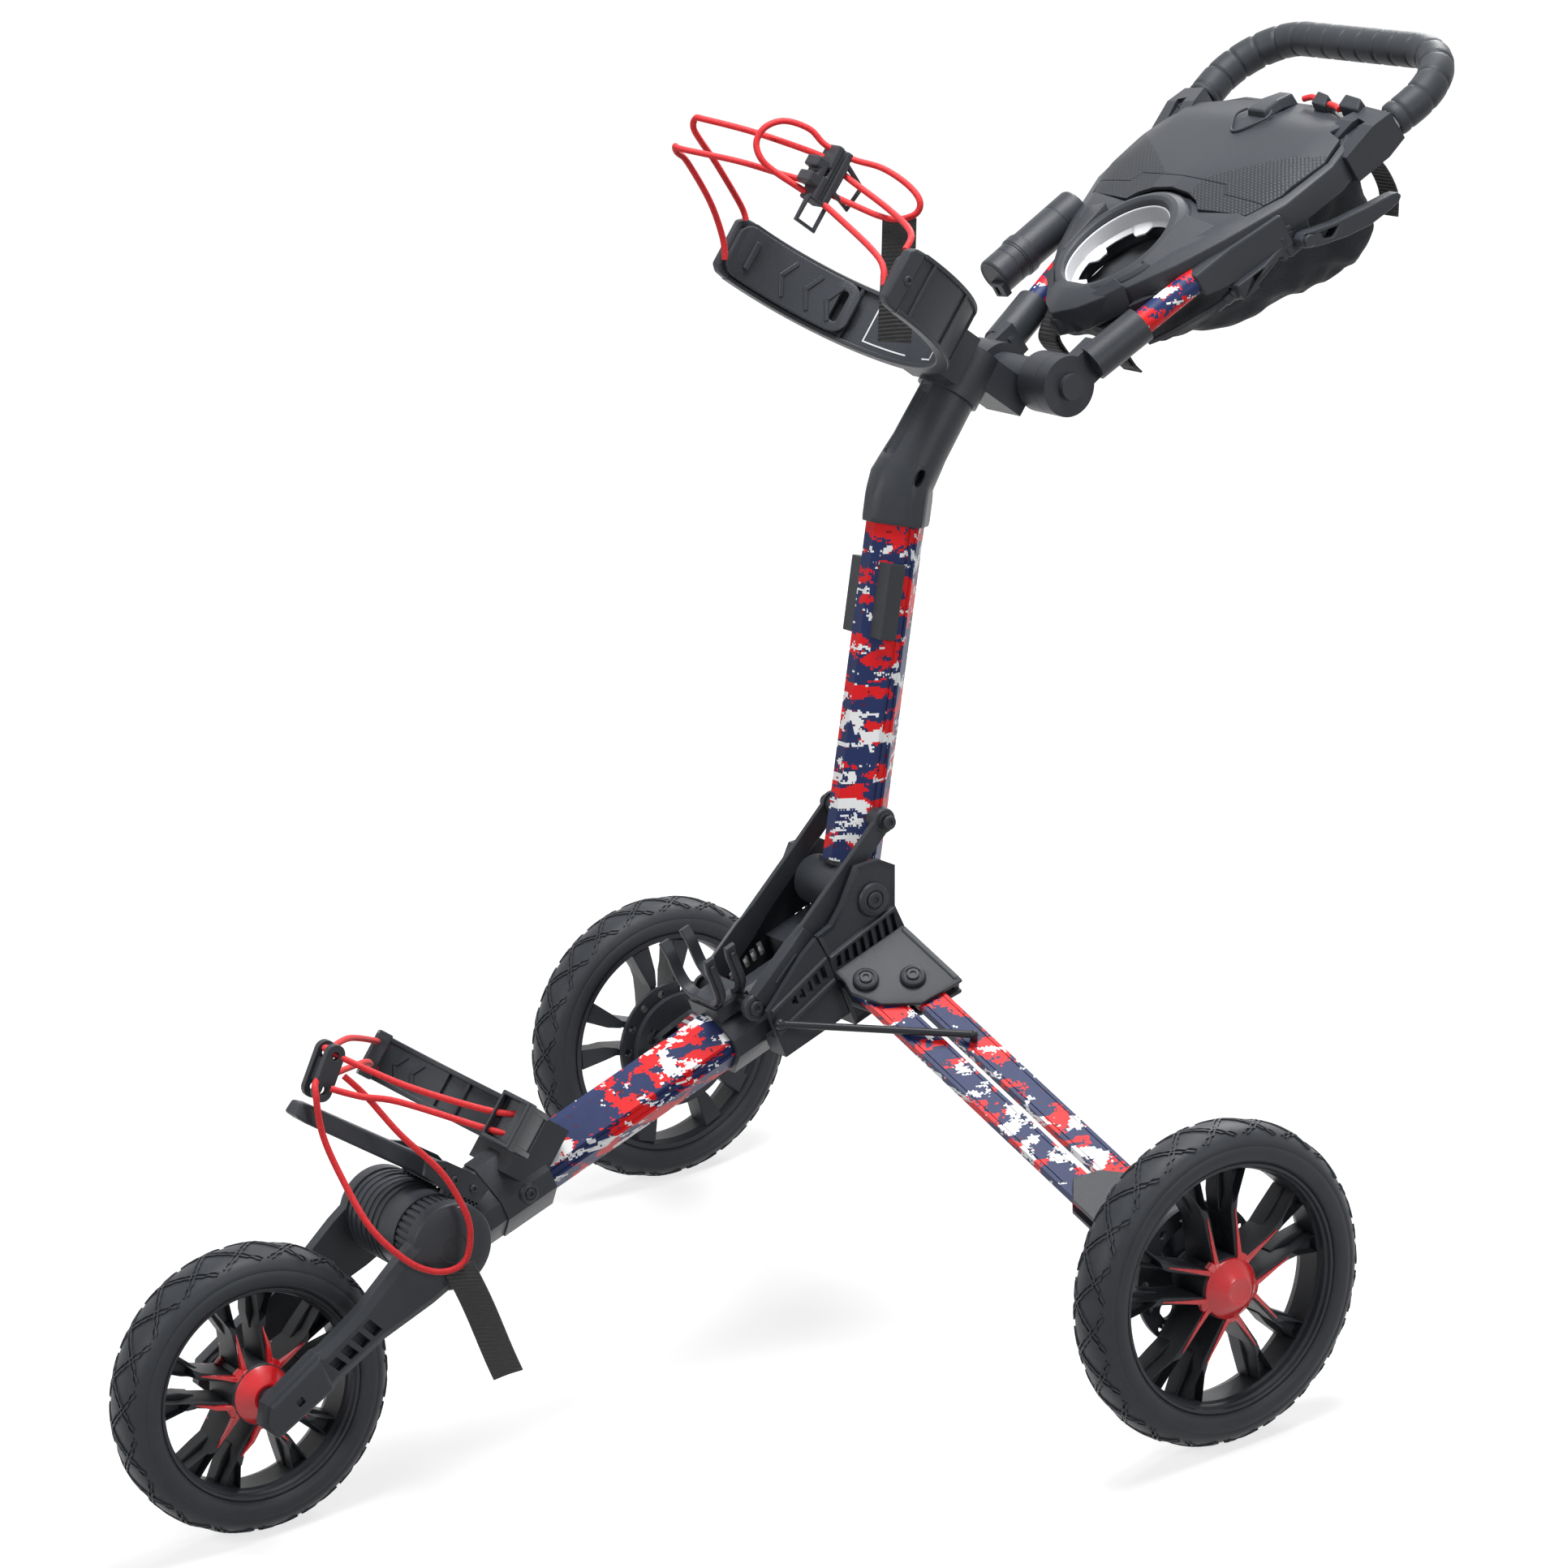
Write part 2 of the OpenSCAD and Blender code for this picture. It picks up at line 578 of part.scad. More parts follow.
module wheel_carrier() {
  xf = piv_f[0] + leg_len;
  xr = piv_r[0] + leg_len;
  xi = track / 2 - rear_tyre_w / 2;
  out = [[xf - 16, -18], [xf, -32], [xr + 20, -32], [xr + 20, 32], [xr, 32], [xf - 8, 4]];
  difference() {
    union() {
      at_leg() {
        translate([0, 0, bar_top + gap]) linear_extrude(flange_t) polygon(out);
        translate([0, 0, -bar_top - gap - flange_t]) linear_extrude(flange_t) polygon(out);
        box([xr + 15, -32, -bar_top - gap - flange_t], [xr + 26, 32, bar_top + gap + flange_t]);
        box([xr + 20, -24, -13], [xr + 56, 30, bar_top + gap + flange_t]);
        for (p = [[xf, -bar_pitch / 2], [xr, bar_pitch / 2]]) translate([p[0], p[1], -bar_top - gap - 1])
          cylinder(d = screw_d, h = bar_t + 2 * gap + 2);
      }
      at_rear() {
        xcyl(17, xi - track / 2 - 44, xi - track / 2 - 9);
        xcyl(52, xi - track / 2 - 18, xi - track / 2 - 12);
      }
    }
    at_rear() {
      xcyl(axle_d / 2, xi - track / 2 - 28, 0);
      xcyl(4 + run, xi - track / 2 - 60, xi - track / 2 - 28);
      translate([0, -42, 0]) xcyl(5 + run, -90, 0);
      for (a = [60, 140, 240, 300]) rotate([a, 0, 0])
        translate([0, 0, 36]) xcyl(8, xi - track / 2 - 19, xi - track / 2 - 11);
    }
  }
}
module wheel_carrier_left() {
  color("#1f2022") side(1) wheel_carrier();
}
module wheel_carrier_right() {
  color("#1f2022") side(-1) wheel_carrier();
}
module bar_between(a, b, r) {
  v = [b[0] - a[0], b[1] - a[1], b[2] - a[2]];
  translate(a) rotate([0, atan2(sqrt(v[0] * v[0] + v[1] * v[1]), v[2]), atan2(v[1], v[0])])
    cylinder(r = r, h = sqrt(v[0] * v[0] + v[1] * v[1] + v[2] * v[2]));
}
module spread_rod() {
  at_leg() {
    bar_between(rod_c, rod_q, rod_d / 2);
    translate(rod_c) sphere(r = 5);
    translate(rod_q) sphere(r = rod_d / 2 + 0.4);
    translate([rod_q[0], rod_q[1], bar_top + gap]) cylinder(d = rod_d, h = rod_q[2] - bar_top - gap);
  }
}
module spread_rod_left() {
  color("#151617") side(1) spread_rod();
}
module spread_rod_right() {
  color("#151617") side(-1) spread_rod();
}
module release_button() {
  x = -rear_tyre_w / 2 - 44 - 3.5;
  at_rear() {
    box([x - 8, -15, -5.5], [x, 15, 5.5]);
    box([x - 8, -5.5, -15], [x, 5.5, 15]);
    xcyl(4, x, x + 15);
  }
}
module release_button_left() {
  color("#d71f26") side(1) release_button();
}
module release_button_right() {
  color("#d71f26") side(-1) release_button();
}
module brake_shoe() {
  x = -rear_tyre_w / 2 - 9;
  at_rear() translate([0, -42, 0]) {
    xcyl(5, x - 16, x);
    xcyl(8, x - 18.5, x - 15);
  }
}
module brake_shoe_left() {
  color("#3a3c40") side(1) brake_shoe();
}
module brake_shoe_right() {
  color("#3a3c40") side(-1) brake_shoe();
}
module tyre(d, w) {
  rotate([0, 90, 0]) rotate_extrude($fn = 96)
    polygon([[d / 2 - tyre_depth, -w / 2 + 3], [d / 2 - tyre_depth + 8, -w / 2], [d / 2 - 10, -w / 2 + 2],
             [d / 2 - 3, -w / 2 + 9], [d / 2, -8], [d / 2, 8], [d / 2 - 3, w / 2 - 9],
             [d / 2 - 10, w / 2 - 2], [d / 2 - tyre_depth + 8, w / 2], [d / 2 - tyre_depth, w / 2 - 3]]);
}
module rim(d, w, h0, h1) {
  ro = d / 2 - tyre_depth - 0.1;
  ri = ro - rim_depth;
  difference() {
    union() {
      rotate([0, 90, 0]) rotate_extrude($fn = 96)
        polygon([[ro, -w / 2 + 3], [ro, w / 2 - 3], [ri + 2, w / 2 - 3], [ri, w / 2 - 8],
                 [ri, -w / 2 + 8], [ri + 2, -w / 2 + 3]]);
      xcyl(hub_d / 2, h0, h1);
      for (i = [0 : 4]) rotate([i * 72, 0, 0]) fan() rotate([11, 0, 0]) across(-w / 4, w / 4 - 1)
        polygon([[1, hub_d / 2 - 3], [7, hub_d / 2 - 3], [18, ri * 0.66],
                 [22, ri + 1.5], [14, ri + 1.5], [10, ri * 0.66]]);
    }
    xcyl(bearing_d / 2 + run, h0 - 1, h1 + 1);
  }
}
module tyre_left() {
  color("#3d4045") at_rear() tyre(rear_wheel_d, rear_tyre_w);
}
module tyre_right() {
  color("#3d4045") side(-1) at_rear() tyre(rear_wheel_d, rear_tyre_w);
}
module tyre_front() {
  color("#3d4045") at_front() tyre(front_wheel_d, front_tyre_w);
}
module rim_left() {
  color("#1d1e20") at_rear() rim(rear_wheel_d, rear_tyre_w, -rear_tyre_w / 2, 19);
}
module rim_right() {
  color("#1d1e20") side(-1) at_rear() rim(rear_wheel_d, rear_tyre_w, -rear_tyre_w / 2, 19);
}
module rim_front() {
  color("#1d1e20") at_front() rim(front_wheel_d, front_tyre_w, -22, 22);
}
module hub_cap() {
  at_rear() {
    difference() {
      translate([19.1, 0, 0]) rotate([0, 90, 0]) cylinder(d1 = hub_d + 2, d2 = hub_d - 16, h = 10.9);
      xcyl(bearing_d / 2 + 3, 19, 21);
    }
    translate([-rear_tyre_w / 2 - 4.1, 0, 0]) difference() {
      xcyl(brake_ring_d / 2, 0, 4);
      xcyl(bearing_d / 2 + 4, -1, 5);
      for (i = [0 : 11]) rotate([i * 30, 0, 0]) translate([0, 0, brake_ring_d / 2 - 10]) xcyl(4, -1, 5);
    }
  }
}
module hub_cap_left() {
  color("#d71f26") side(1) hub_cap();
}
module hub_cap_right() {
  color("#d71f26") side(-1) hub_cap();
}
module hub_cap_front() {
  color("#d71f26") at_front() both() difference() {
    translate([22.1, 0, 0]) rotate([0, 90, 0]) cylinder(d1 = hub_d + 2, d2 = hub_d - 16, h = 9);
    xcyl(bearing_d / 2 + 3, 22, 32);
  }
}
module axle_rear() {
  at_rear() {
    xcyl(axle_d / 2, -rear_tyre_w / 2 - 28, 18);
    for (x = [-20, 6]) difference() {
      xcyl(bearing_d / 2, x, x + 9);
      xcyl(axle_d / 2 - 0.1, x - 1, x + 10);
    }
  }
}
module axle_left() {
  color("#b9bcc0") side(1) axle_rear();
}
module axle_right() {
  color("#b9bcc0") side(-1) axle_rear();
}
module axle_front() {
  color("#b9bcc0") at_front() {
    xcyl(axle_d / 2, -fork_in - fork_t, fork_in + fork_t);
    both() {
      xcyl(bearing_d / 2, 10, 19);
      xcyl(9, 19, fork_in - 5 - gap);
    }
  }
}
module loop(r, lead) {
  translate([-bend_x, loop_s, 0]) xcyl(r, 0, 2 * bend_x);
  both() {
    translate([bend_x, bend_s, 0]) rotate([0, 0, -arm_splay]) rotate_extrude(angle = 90 + arm_splay)
      translate([bend_r, 0]) circle(r = r);
    translate([arm_x, 0, 0]) rotate([0, 0, -arm_splay]) translate([0, arm_run - lead, 0])
      rotate([-90, 0, 0]) cylinder(r = r, h = lead);
  }
}
module arm_rod(r, a, b) {
  translate([arm_x, 0, 0]) rotate([0, 0, -arm_splay]) translate([0, a, 0])
    rotate([-90, 0, 0]) cylinder(r = r, h = b - a);
}
module handle_tube() {
  color("#2b2d31") at_handle() loop(handle_d / 2, arm_run - 32);
}
module grip() {
  color("#141516") at_handle() difference() {
    loop(grip_d / 2, 6);
    loop(handle_d / 2 + 0.05, 8);
  }
}
module yoke_arms() {
  color("#232528") at_handle() both() difference() {
    union() {
      xcyl(26, disc_in + gap, disc_in + 14.7);
      box([disc_in + gap, 0, -15], [disc_in + 14.7, 44, 15]);
      arm_rod(16, 30, 84);
    }
    xcyl(6 + run, 0, 90);
    arm_rod(handle_d / 2 + 0.1, 31.9, 120);
  }
}
module console() {
  color("#26282b") difference() {
    union() {
      at_console() {
        translate([0, 0, -console_t]) linear_extrude(console_t) polygon(console_out);
        box([112, 160, -42], [129, 184, -console_t + 2]);
        translate([120, 161, -34]) rotate([90, 0, 0]) cylinder(r = 6, h = 15.5);
        translate([0, 172, -34]) {
          xcyl(3, 128, 144);
          xcyl(5.5, 142.3, 145);
        }
      }
      at_handle() both() arm_rod(16, 318, 352);
      at_handle() both() box([98, 318, -13], [116, 346, 12]);
    }
    at_console() {
      translate([0, 96, -60]) cylinder(d = cup_d, h = 80);
      translate([0, 0, -console_t + 5]) linear_extrude(40) polygon(tray_out);
      translate([-124, 30, -4]) rotate([-90, 0, 0]) cylinder(d = holder_d + 0.6, h = 110);
    }
    at_handle() both() arm_rod(handle_d / 2 + 0.1, 40, 400);
  }
}
module console_lid() {
  color("#1d1e20") difference() {
    at_console() translate([0, 0, gap]) linear_extrude(lid_t) intersection() {
      polygon(console_out);
      translate([-200, 152]) square([400, 200]);
    }
    at_handle() both() {
      arm_rod(16.6, 312, 400);
      box([97.4, 312, -20], [116.6, 400, 13]);
    }
  }
}
module brake_lever() {
  color("#26282b") at_console() translate([0, 172, -34]) difference() {
    union() {
      xcyl(7, 129 + gap, 142);
      rotate([-15, 0, 0]) box([129 + gap, 0, -6], [142, 112, 4]);
    }
    xcyl(3 + run, 100, 160);
  }
}
module brake_cable() {
  color("#9a9da1") at_console() cord(cable_pts, cable_d / 2, 8);
}
module cargo_bag() {
  color("#17181a") at_console() hull() {
    box([-53, 20, -40], [53, 60, -console_t - 0.4]);
    box([-56, 60, -66], [56, 70, -50]);
    box([-92, 250, -100], [92, 292, -console_t - 0.4]);
    box([-88, 262, -120], [88, 278, -90]);
  }
}
module umbrella_holder() {
  color("#17181a") at_console() translate([-124, 32, -4]) rotate([-90, 0, 0]) {
    cylinder(d = holder_d, h = 106);
    translate([0, 0, 28]) cylinder(d = holder_d + 3, h = 13);
  }
}
module cord(p, r, n) {
  up = carry(p, 0, unit([0.31, 0.42, 0.85]));
  pts = [for (i = [0 : len(p) - 1], k = [0 : n - 1])
    let (d = run_dir(p, i), b = cross(d, up[i]))
      p[i] + r * (cos(360 * k / n) * up[i] + sin(360 * k / n) * b)];
  last = len(p) - 1;
  polyhedron(pts, concat(
    [[for (k = [0 : n - 1]) k]],
    [for (i = [0 : last - 1], k = [0 : n - 1])
      [i * n + k, (i + 1) * n + k, (i + 1) * n + (k + 1) % n, i * n + (k + 1) % n]],
    [[for (k = [n - 1 : -1 : 0]) last * n + k]]), convexity = 10);
}
module upper_cord() {
  color("#d71f26") at_head() {
    cord(upper_a, cord_d / 2, 8);
    cord(upper_b, cord_d / 2, 8);
  }
}
module upper_hook() {
  color("#2b2d31") at_head() {
    difference() {
      box([-11, -224, 150], [11, -190, 200]);
      box([-20, -226, 168], [20, -212, 174]);
    }
    for (y = [-218, -202]) difference() {
      box([6, y, 128], [11, y + 14, 152]);
      box([0, y + 3.5, 131.5], [20, y + 10.5, 148.5]);
    }
  }
}
module upper_pull_tab() {
  color("#141516") at_head() translate([50, -158, 170]) rotate([head_lean, 0, 0]) rotate([0, 0, 50])
    box([-14, -1, -103], [14, 1, 0]);
}
module lower_cord() {
  color("#d71f26") at_lower() {
    cord(lower_a, cord_d / 2, 8);
    cord(lower_b, cord_d / 2, 8);
    cord(lower_c, cord_d / 2, 8);
  }
}
module lower_hook() {
  color("#2b2d31") at_lower() difference() {
    box([-10, -226, -14], [14, -194, 34]);
    box([-20, -228, 6], [20, -212, 11]);
  }
}
module lower_pull_tab() {
  color("#141516") at_lower() translate([77, -58, -77]) rotate([head_lean, 0, 0]) rotate([0, 0, 50])
    box([-13, -1, -99], [13, 1, 0]);
}
front_tube();
hub_plate_left();
hub_plate_right();
hub_core();
frame_pins();
frame_screws();
drum_housing();
lower_cradle();
bag_ledge();
lower_cord();
lower_hook();
lower_pull_tab();
collar();
fold_clip();
fold_links();
mast_tube();
mast_foot();
elbow_sleeve();
head_collar();
upper_cradle();
cradle_pads();
mast_clips();
upper_cord();
upper_hook();
upper_pull_tab();
leg_front_bar_left();
leg_front_bar_right();
leg_rear_bar_left();
leg_rear_bar_right();
wheel_carrier_left();
wheel_carrier_right();
spread_rod_left();
spread_rod_right();
release_button_left();
release_button_right();
brake_shoe_left();
brake_shoe_right();
tyre_left();
tyre_right();
tyre_front();
rim_left();
rim_right();
rim_front();
hub_cap_left();
hub_cap_right();
hub_cap_front();
axle_left();
axle_right();
axle_front();
fork_arms();
tracking_dial();
handle_tube();
grip();
yoke_arms();
console();
console_lid();
brake_lever();
brake_cable();
cargo_bag();
umbrella_holder();
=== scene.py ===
import json
import math

import bpy
from mathutils import Matrix, Vector, noise

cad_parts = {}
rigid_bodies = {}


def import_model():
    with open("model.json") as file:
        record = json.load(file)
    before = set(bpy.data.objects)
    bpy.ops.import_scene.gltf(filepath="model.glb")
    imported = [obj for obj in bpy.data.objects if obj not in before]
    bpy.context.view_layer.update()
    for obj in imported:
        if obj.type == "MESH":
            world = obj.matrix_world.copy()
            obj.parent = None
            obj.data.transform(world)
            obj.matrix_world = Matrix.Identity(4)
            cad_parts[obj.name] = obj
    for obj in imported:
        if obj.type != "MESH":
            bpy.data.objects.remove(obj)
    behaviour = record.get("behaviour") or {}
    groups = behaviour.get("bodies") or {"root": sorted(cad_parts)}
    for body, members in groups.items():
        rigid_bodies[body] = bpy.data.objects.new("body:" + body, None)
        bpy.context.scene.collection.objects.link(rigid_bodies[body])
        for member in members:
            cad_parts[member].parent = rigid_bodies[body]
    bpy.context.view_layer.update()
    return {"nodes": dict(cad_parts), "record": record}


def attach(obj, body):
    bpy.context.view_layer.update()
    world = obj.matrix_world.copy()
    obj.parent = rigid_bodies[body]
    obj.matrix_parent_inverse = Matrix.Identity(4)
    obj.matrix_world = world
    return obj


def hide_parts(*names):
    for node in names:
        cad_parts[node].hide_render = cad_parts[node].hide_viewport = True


for leftover in list(bpy.data.objects):
    bpy.data.objects.remove(leftover)
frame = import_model()
nodes = frame["nodes"]
scene = bpy.context.scene
print("frame loaded,", len(nodes), "nodes")


# places of the trolley's parts, in metres

def turn(degrees, axis):
    return Matrix.Rotation(math.radians(degrees), 4, axis)


def shift(x, y, z):
    return Matrix.Translation((x, y, z))


rearY = 0.09544  # the rear axle
tubeFrame = shift(0, rearY - 0.054, 0.330) @ turn(17.6, "X")  # front tube, at the hub
mastFrame = shift(0, rearY - 0.054, 0.389) @ turn(-15, "X")
headFrame = mastFrame @ shift(0, 0.0095, 0.346) @ turn(-25, "X")
handleFrame = headFrame @ shift(0, 0.060, 0.135) @ turn(69.7, "X")
consoleFrame = handleFrame @ shift(0, 0.054, 0.025) @ turn(-3, "X")
legFrame = tubeFrame @ shift(0.120, -0.010, -0.0323) @ turn(31, "Y")
lowerFrame = tubeFrame @ shift(0, -0.363, 0) @ turn(-57.6, "X")  # the lower cradle
drum = tubeFrame @ Vector((0, -0.452, 0.017))
frontAxle = Vector((0, rearY - 0.653, 0.120))
forkAngle = math.degrees(math.atan2(drum.z - frontAxle.z, drum.y - frontAxle.y))
forkLength = (drum - frontAxle).length
forkFrame = shift(*drum) @ turn(forkAngle, "X")
rearWheelFrame = shift(0.420, rearY, 0.135) @ turn(90, "Y")
frontWheelFrame = shift(*frontAxle) @ turn(90, "Y")
sideways = Matrix(((0, 0, 1, 0), (1, 0, 0, 0), (0, 1, 0, 0), (0, 0, 0, 1)))  # an XY outline stands in YZ
flip = Matrix.Scale(-1, 4, (1, 0, 0))  # to the other side of the trolley
flipY = Matrix.Scale(-1, 4, (0, 1, 0))


# camera at the photograph's view

camera = {"at": (3.2930, -2.04596, 1.6449), "azimuth": 58.1886, "elevation": 16.582,
          "roll": -5.5164, "lens": 111.08}


def setCamera(c):
    a, e, r = (math.radians(c[k]) for k in ("azimuth", "elevation", "roll"))
    back = Vector((math.sin(a) * math.cos(e), -math.cos(a) * math.cos(e), math.sin(e)))
    flat = Vector((math.cos(a), math.sin(a), 0))
    over = back.cross(flat)
    right = math.cos(r) * flat + math.sin(r) * over
    up = -math.sin(r) * flat + math.cos(r) * over
    data = bpy.data.cameras.new("camera")
    data.lens = c["lens"]
    data.sensor_width = 36
    eye = bpy.data.objects.new("camera", data)
    scene.collection.objects.link(eye)
    eye.matrix_world = Matrix((right, up, back)).transposed().to_4x4()
    eye.location = c["at"]
    scene.camera = eye


setCamera(camera)


# shader maths: a wire is one socket, and a paint is one material

class Wire:
    def __init__(self, paint, socket):
        self.paint, self.socket = paint, socket

    def sum(self, operation, a, b):
        return self.paint.add("ShaderNodeMath", {"operation": operation}, {0: a, 1: b})

    def __add__(self, other):
        return self.sum("ADD", self, other)

    def __radd__(self, other):
        return self.sum("ADD", other, self)

    def __sub__(self, other):
        return self.sum("SUBTRACT", self, other)

    def __rsub__(self, other):
        return self.sum("SUBTRACT", other, self)

    def __mul__(self, other):
        return self.sum("MULTIPLY", self, other)

    def __gt__(self, other):
        return self.sum("GREATER_THAN", self, other)


class Paint:
    def __init__(self, name):
        self.material = bpy.data.materials.new(name)
        self.material.use_nodes = True
        self.tree = self.material.node_tree
        self.tree.nodes.clear()
        self.place = self.add("ShaderNodeTexCoord", out="Object")

    def add(self, kind, settings=None, inputs=None, out=0):
        node = self.tree.nodes.new(kind)
        for key, value in (settings or {}).items():
            setattr(node, key, value)
        for key, value in (inputs or {}).items():
            if isinstance(value, Wire):
                self.tree.links.new(value.socket, node.inputs[key])
            else:
                node.inputs[key].default_value = value
        return Wire(self, node.outputs[out])

    def noise(self, scale, detail=2.0, rough=0.5, at=None, bend=0.0):
        return self.add("ShaderNodeTexNoise", None, {"Vector": at or self.place, "Scale": scale,
                        "Detail": detail, "Roughness": rough, "Distortion": bend})

    def cells(self, scale):
        return self.add("ShaderNodeTexVoronoi", None, {"Vector": self.place, "Scale": scale}, "Distance")

    def bands(self, scale, direction, at=None):
        return self.add("ShaderNodeTexWave", {"bands_direction": direction},
                        {"Vector": at or self.place, "Scale": scale}, "Fac")

    def scaled(self, x, y, z, at=None):
        return self.add("ShaderNodeMapping", None, {"Vector": at or self.place, "Scale": (x, y, z)})

    def mix(self, mask, a, b):
        return self.add("ShaderNodeMix", {"data_type": "RGBA"}, {0: mask, 6: a, 7: b}, 2)

    def bump(self, height, distance):
        return self.add("ShaderNodeBump", None, {"Height": height, "Distance": distance, "Strength": 1.0})

    def finish(self, colour, roughness, normal, **plain):
        values = {"Base Color": colour, "Roughness": roughness, "Normal": normal}
        values.update({key.replace("_", " "): value for key, value in plain.items()})
        self.end(self.add("ShaderNodeBsdfPrincipled", None, values))
        return self.material

    def end(self, shader):
        output = self.tree.nodes.new("ShaderNodeOutputMaterial")
        self.tree.links.new(shader.socket, output.inputs["Surface"])


def rgb(r, g, b):
    return (r, g, b, 1.0)


def camoPaint():
    p = Paint("camoPaint")
    grid = p.add("ShaderNodeVectorMath", {"operation": "SNAP"},
                 {0: p.place, 1: (0.0017, 0.0017, 0.0017)})
    patches = p.scaled(27, 27, 60, grid)
    ragged = p.noise(330, 1.0, 0.6, grid) - 0.5
    redField = p.noise(1.0, 4.0, 0.62, patches, 0.5) + ragged * 0.07
    whiteField = p.noise(1.15, 4.0, 0.60, p.add("ShaderNodeVectorMath", {"operation": "ADD"},
                         {0: patches, 1: (31.7, 12.4, 7.9)}), 0.6) + ragged * 0.07
    specks = p.noise(5.5, 3.0, 0.7, patches) > 0.655
    navy = p.mix(p.noise(90, 2.0), rgb(0.012, 0.022, 0.085), rgb(0.018, 0.032, 0.115))
    colour = p.mix(redField > 0.525, navy, rgb(0.72, 0.014, 0.018))
    colour = p.mix(specks, colour, rgb(0.10, 0.004, 0.008))
    colour = p.mix(whiteField > 0.572, colour, rgb(0.86, 0.87, 0.88))
    grain = p.noise(1400, 2.0)
    return p.finish(colour, 0.34 + grain * 0.14, p.bump(grain, 0.00008), Specular_IOR_Level=0.18)


def blackPlastic(name, tone, rough, grainSize, grainDepth):
    p = Paint(name)
    grain = p.noise(grainSize, 3.0, 0.6)
    cloudy = p.noise(14, 2.0)
    r, g, b = tone
    colour = p.mix(cloudy * 0.6 + grain * 0.4, rgb(r * 0.82, g * 0.82, b * 0.82),
                   rgb(r * 1.2, g * 1.2, b * 1.2))
    return p.finish(colour, rough - 0.06 + grain * 0.14, p.bump(grain, grainDepth), Specular_IOR_Level=0.22)


def foamTyre():
    p = Paint("foamTyre")
    grain = p.noise(2600, 2.0, 0.7)
    dust = p.noise(38, 4.0, 0.65)
    colour = p.mix(dust, rgb(0.026, 0.029, 0.034), rgb(0.043, 0.047, 0.055))
    return p.finish(colour, 0.34 + dust * 0.16, p.bump(grain, 0.00012), Specular_IOR_Level=0.20)


def redPlastic():
    p = Paint("redPlastic")
    cloudy = p.noise(60, 3.0)
    colour = p.mix(cloudy, rgb(0.60, 0.010, 0.016), rgb(0.80, 0.022, 0.030))
    return p.finish(colour, 0.20 + cloudy * 0.14, p.bump(p.noise(900, 2.0), 0.00006),
                    Coat_Weight=0.25)


def plainSteel(name, tone, rough):
    p = Paint(name)
    brushed = p.noise(500, 3.0, 0.6, p.scaled(0.05, 1, 1))
    colour = p.mix(brushed, rgb(*(0.8 * t for t in tone)), rgb(*tone))
    return p.finish(colour, rough + brushed * 0.15, p.bump(brushed, 0.00003), Metallic=1.0)


def redElastic():
    p = Paint("redElastic")
    weaveAndShade = p.cells(900)
    # the colour follows the strands that the bump draws: light on them, with painted shade in the gaps
    # between them
    colour = p.mix(weaveAndShade, rgb(0.80, 0.014, 0.020), rgb(0.44, 0.006, 0.010))
    return p.finish(colour, 0.55 + weaveAndShade * 0.2, p.bump(1 - weaveAndShade, 0.0001), Sheen_Weight=0.1)


def wovenFabric():
    p = Paint("wovenFabric")
    warpAndShade = p.bands(520, "X") * p.bands(520, "Z")
    worn = p.noise(26, 4.0, 0.6)
    # the colour is part random wear and part the weave that the bump draws, with painted shade between the
    # threads
    colour = p.mix(worn * 0.7 + warpAndShade * 0.3, rgb(0.014, 0.016, 0.019), rgb(0.046, 0.050, 0.058))
    return p.finish(colour, 0.62 + worn * 0.2, p.bump(warpAndShade * 0.2 + p.noise(160, 4.0, 0.6), 0.0005),
                    Specular_IOR_Level=0.16, Sheen_Weight=0.1)


def ribbedWebbing():
    p = Paint("ribbedWebbing")
    ribs = p.bands(95, "Z")
    threadsAndShade = p.bands(420, "X") * 0.4 + p.bands(420, "Y") * 0.4
    # the colour follows the ribs and threads that the bump draws: painted shade in the grooves, painted
    # highlight on the crests
    colour = p.mix(ribs * 0.7 + threadsAndShade * 0.3, rgb(0.006, 0.006, 0.007), rgb(0.030, 0.031, 0.034))
    return p.finish(colour, 0.7 + ribs * 0.15, p.bump(ribs + threadsAndShade * 0.4, 0.0010), Sheen_Weight=0.15)


def softRubber():
    p = Paint("softRubber")
    grain = p.noise(1500, 3.0, 0.7)
    worn = p.noise(30, 3.0)
    colour = p.mix(worn, rgb(0.022, 0.0245, 0.029), rgb(0.038, 0.042, 0.049))
    return p.finish(colour, 0.40 + grain * 0.16, p.bump(grain, 0.00012), Specular_IOR_Level=0.20)


def paleRing():
    p = Paint("paleRing")
    grain = p.noise(700, 3.0)
    colour = p.mix(grain, rgb(0.52, 0.53, 0.55), rgb(0.62, 0.63, 0.65))
    return p.finish(colour, 0.42 + grain * 0.1, p.bump(grain, 0.00008))


def knurledPlastic():
    p = Paint("knurledBlack")
    one = p.bands(100, "DIAGONAL", p.scaled(1.26, 1.40, 0.0))
    two = p.bands(100, "DIAGONAL", p.scaled(-1.26, 1.40, 0.0))
    knurl = one * two
    grain = p.noise(1300, 3.0, 0.6)
    # the colour follows the knurl relief that the bump draws: painted shade in its grooves, painted
    # highlight on its crests
    colour = p.mix(knurl, rgb(0.020, 0.0225, 0.027), rgb(0.034, 0.038, 0.045))
    return p.finish(colour, 0.36 + grain * 0.12, p.bump(knurl + grain * 0.1, 0.0005),
                    Specular_IOR_Level=0.22)


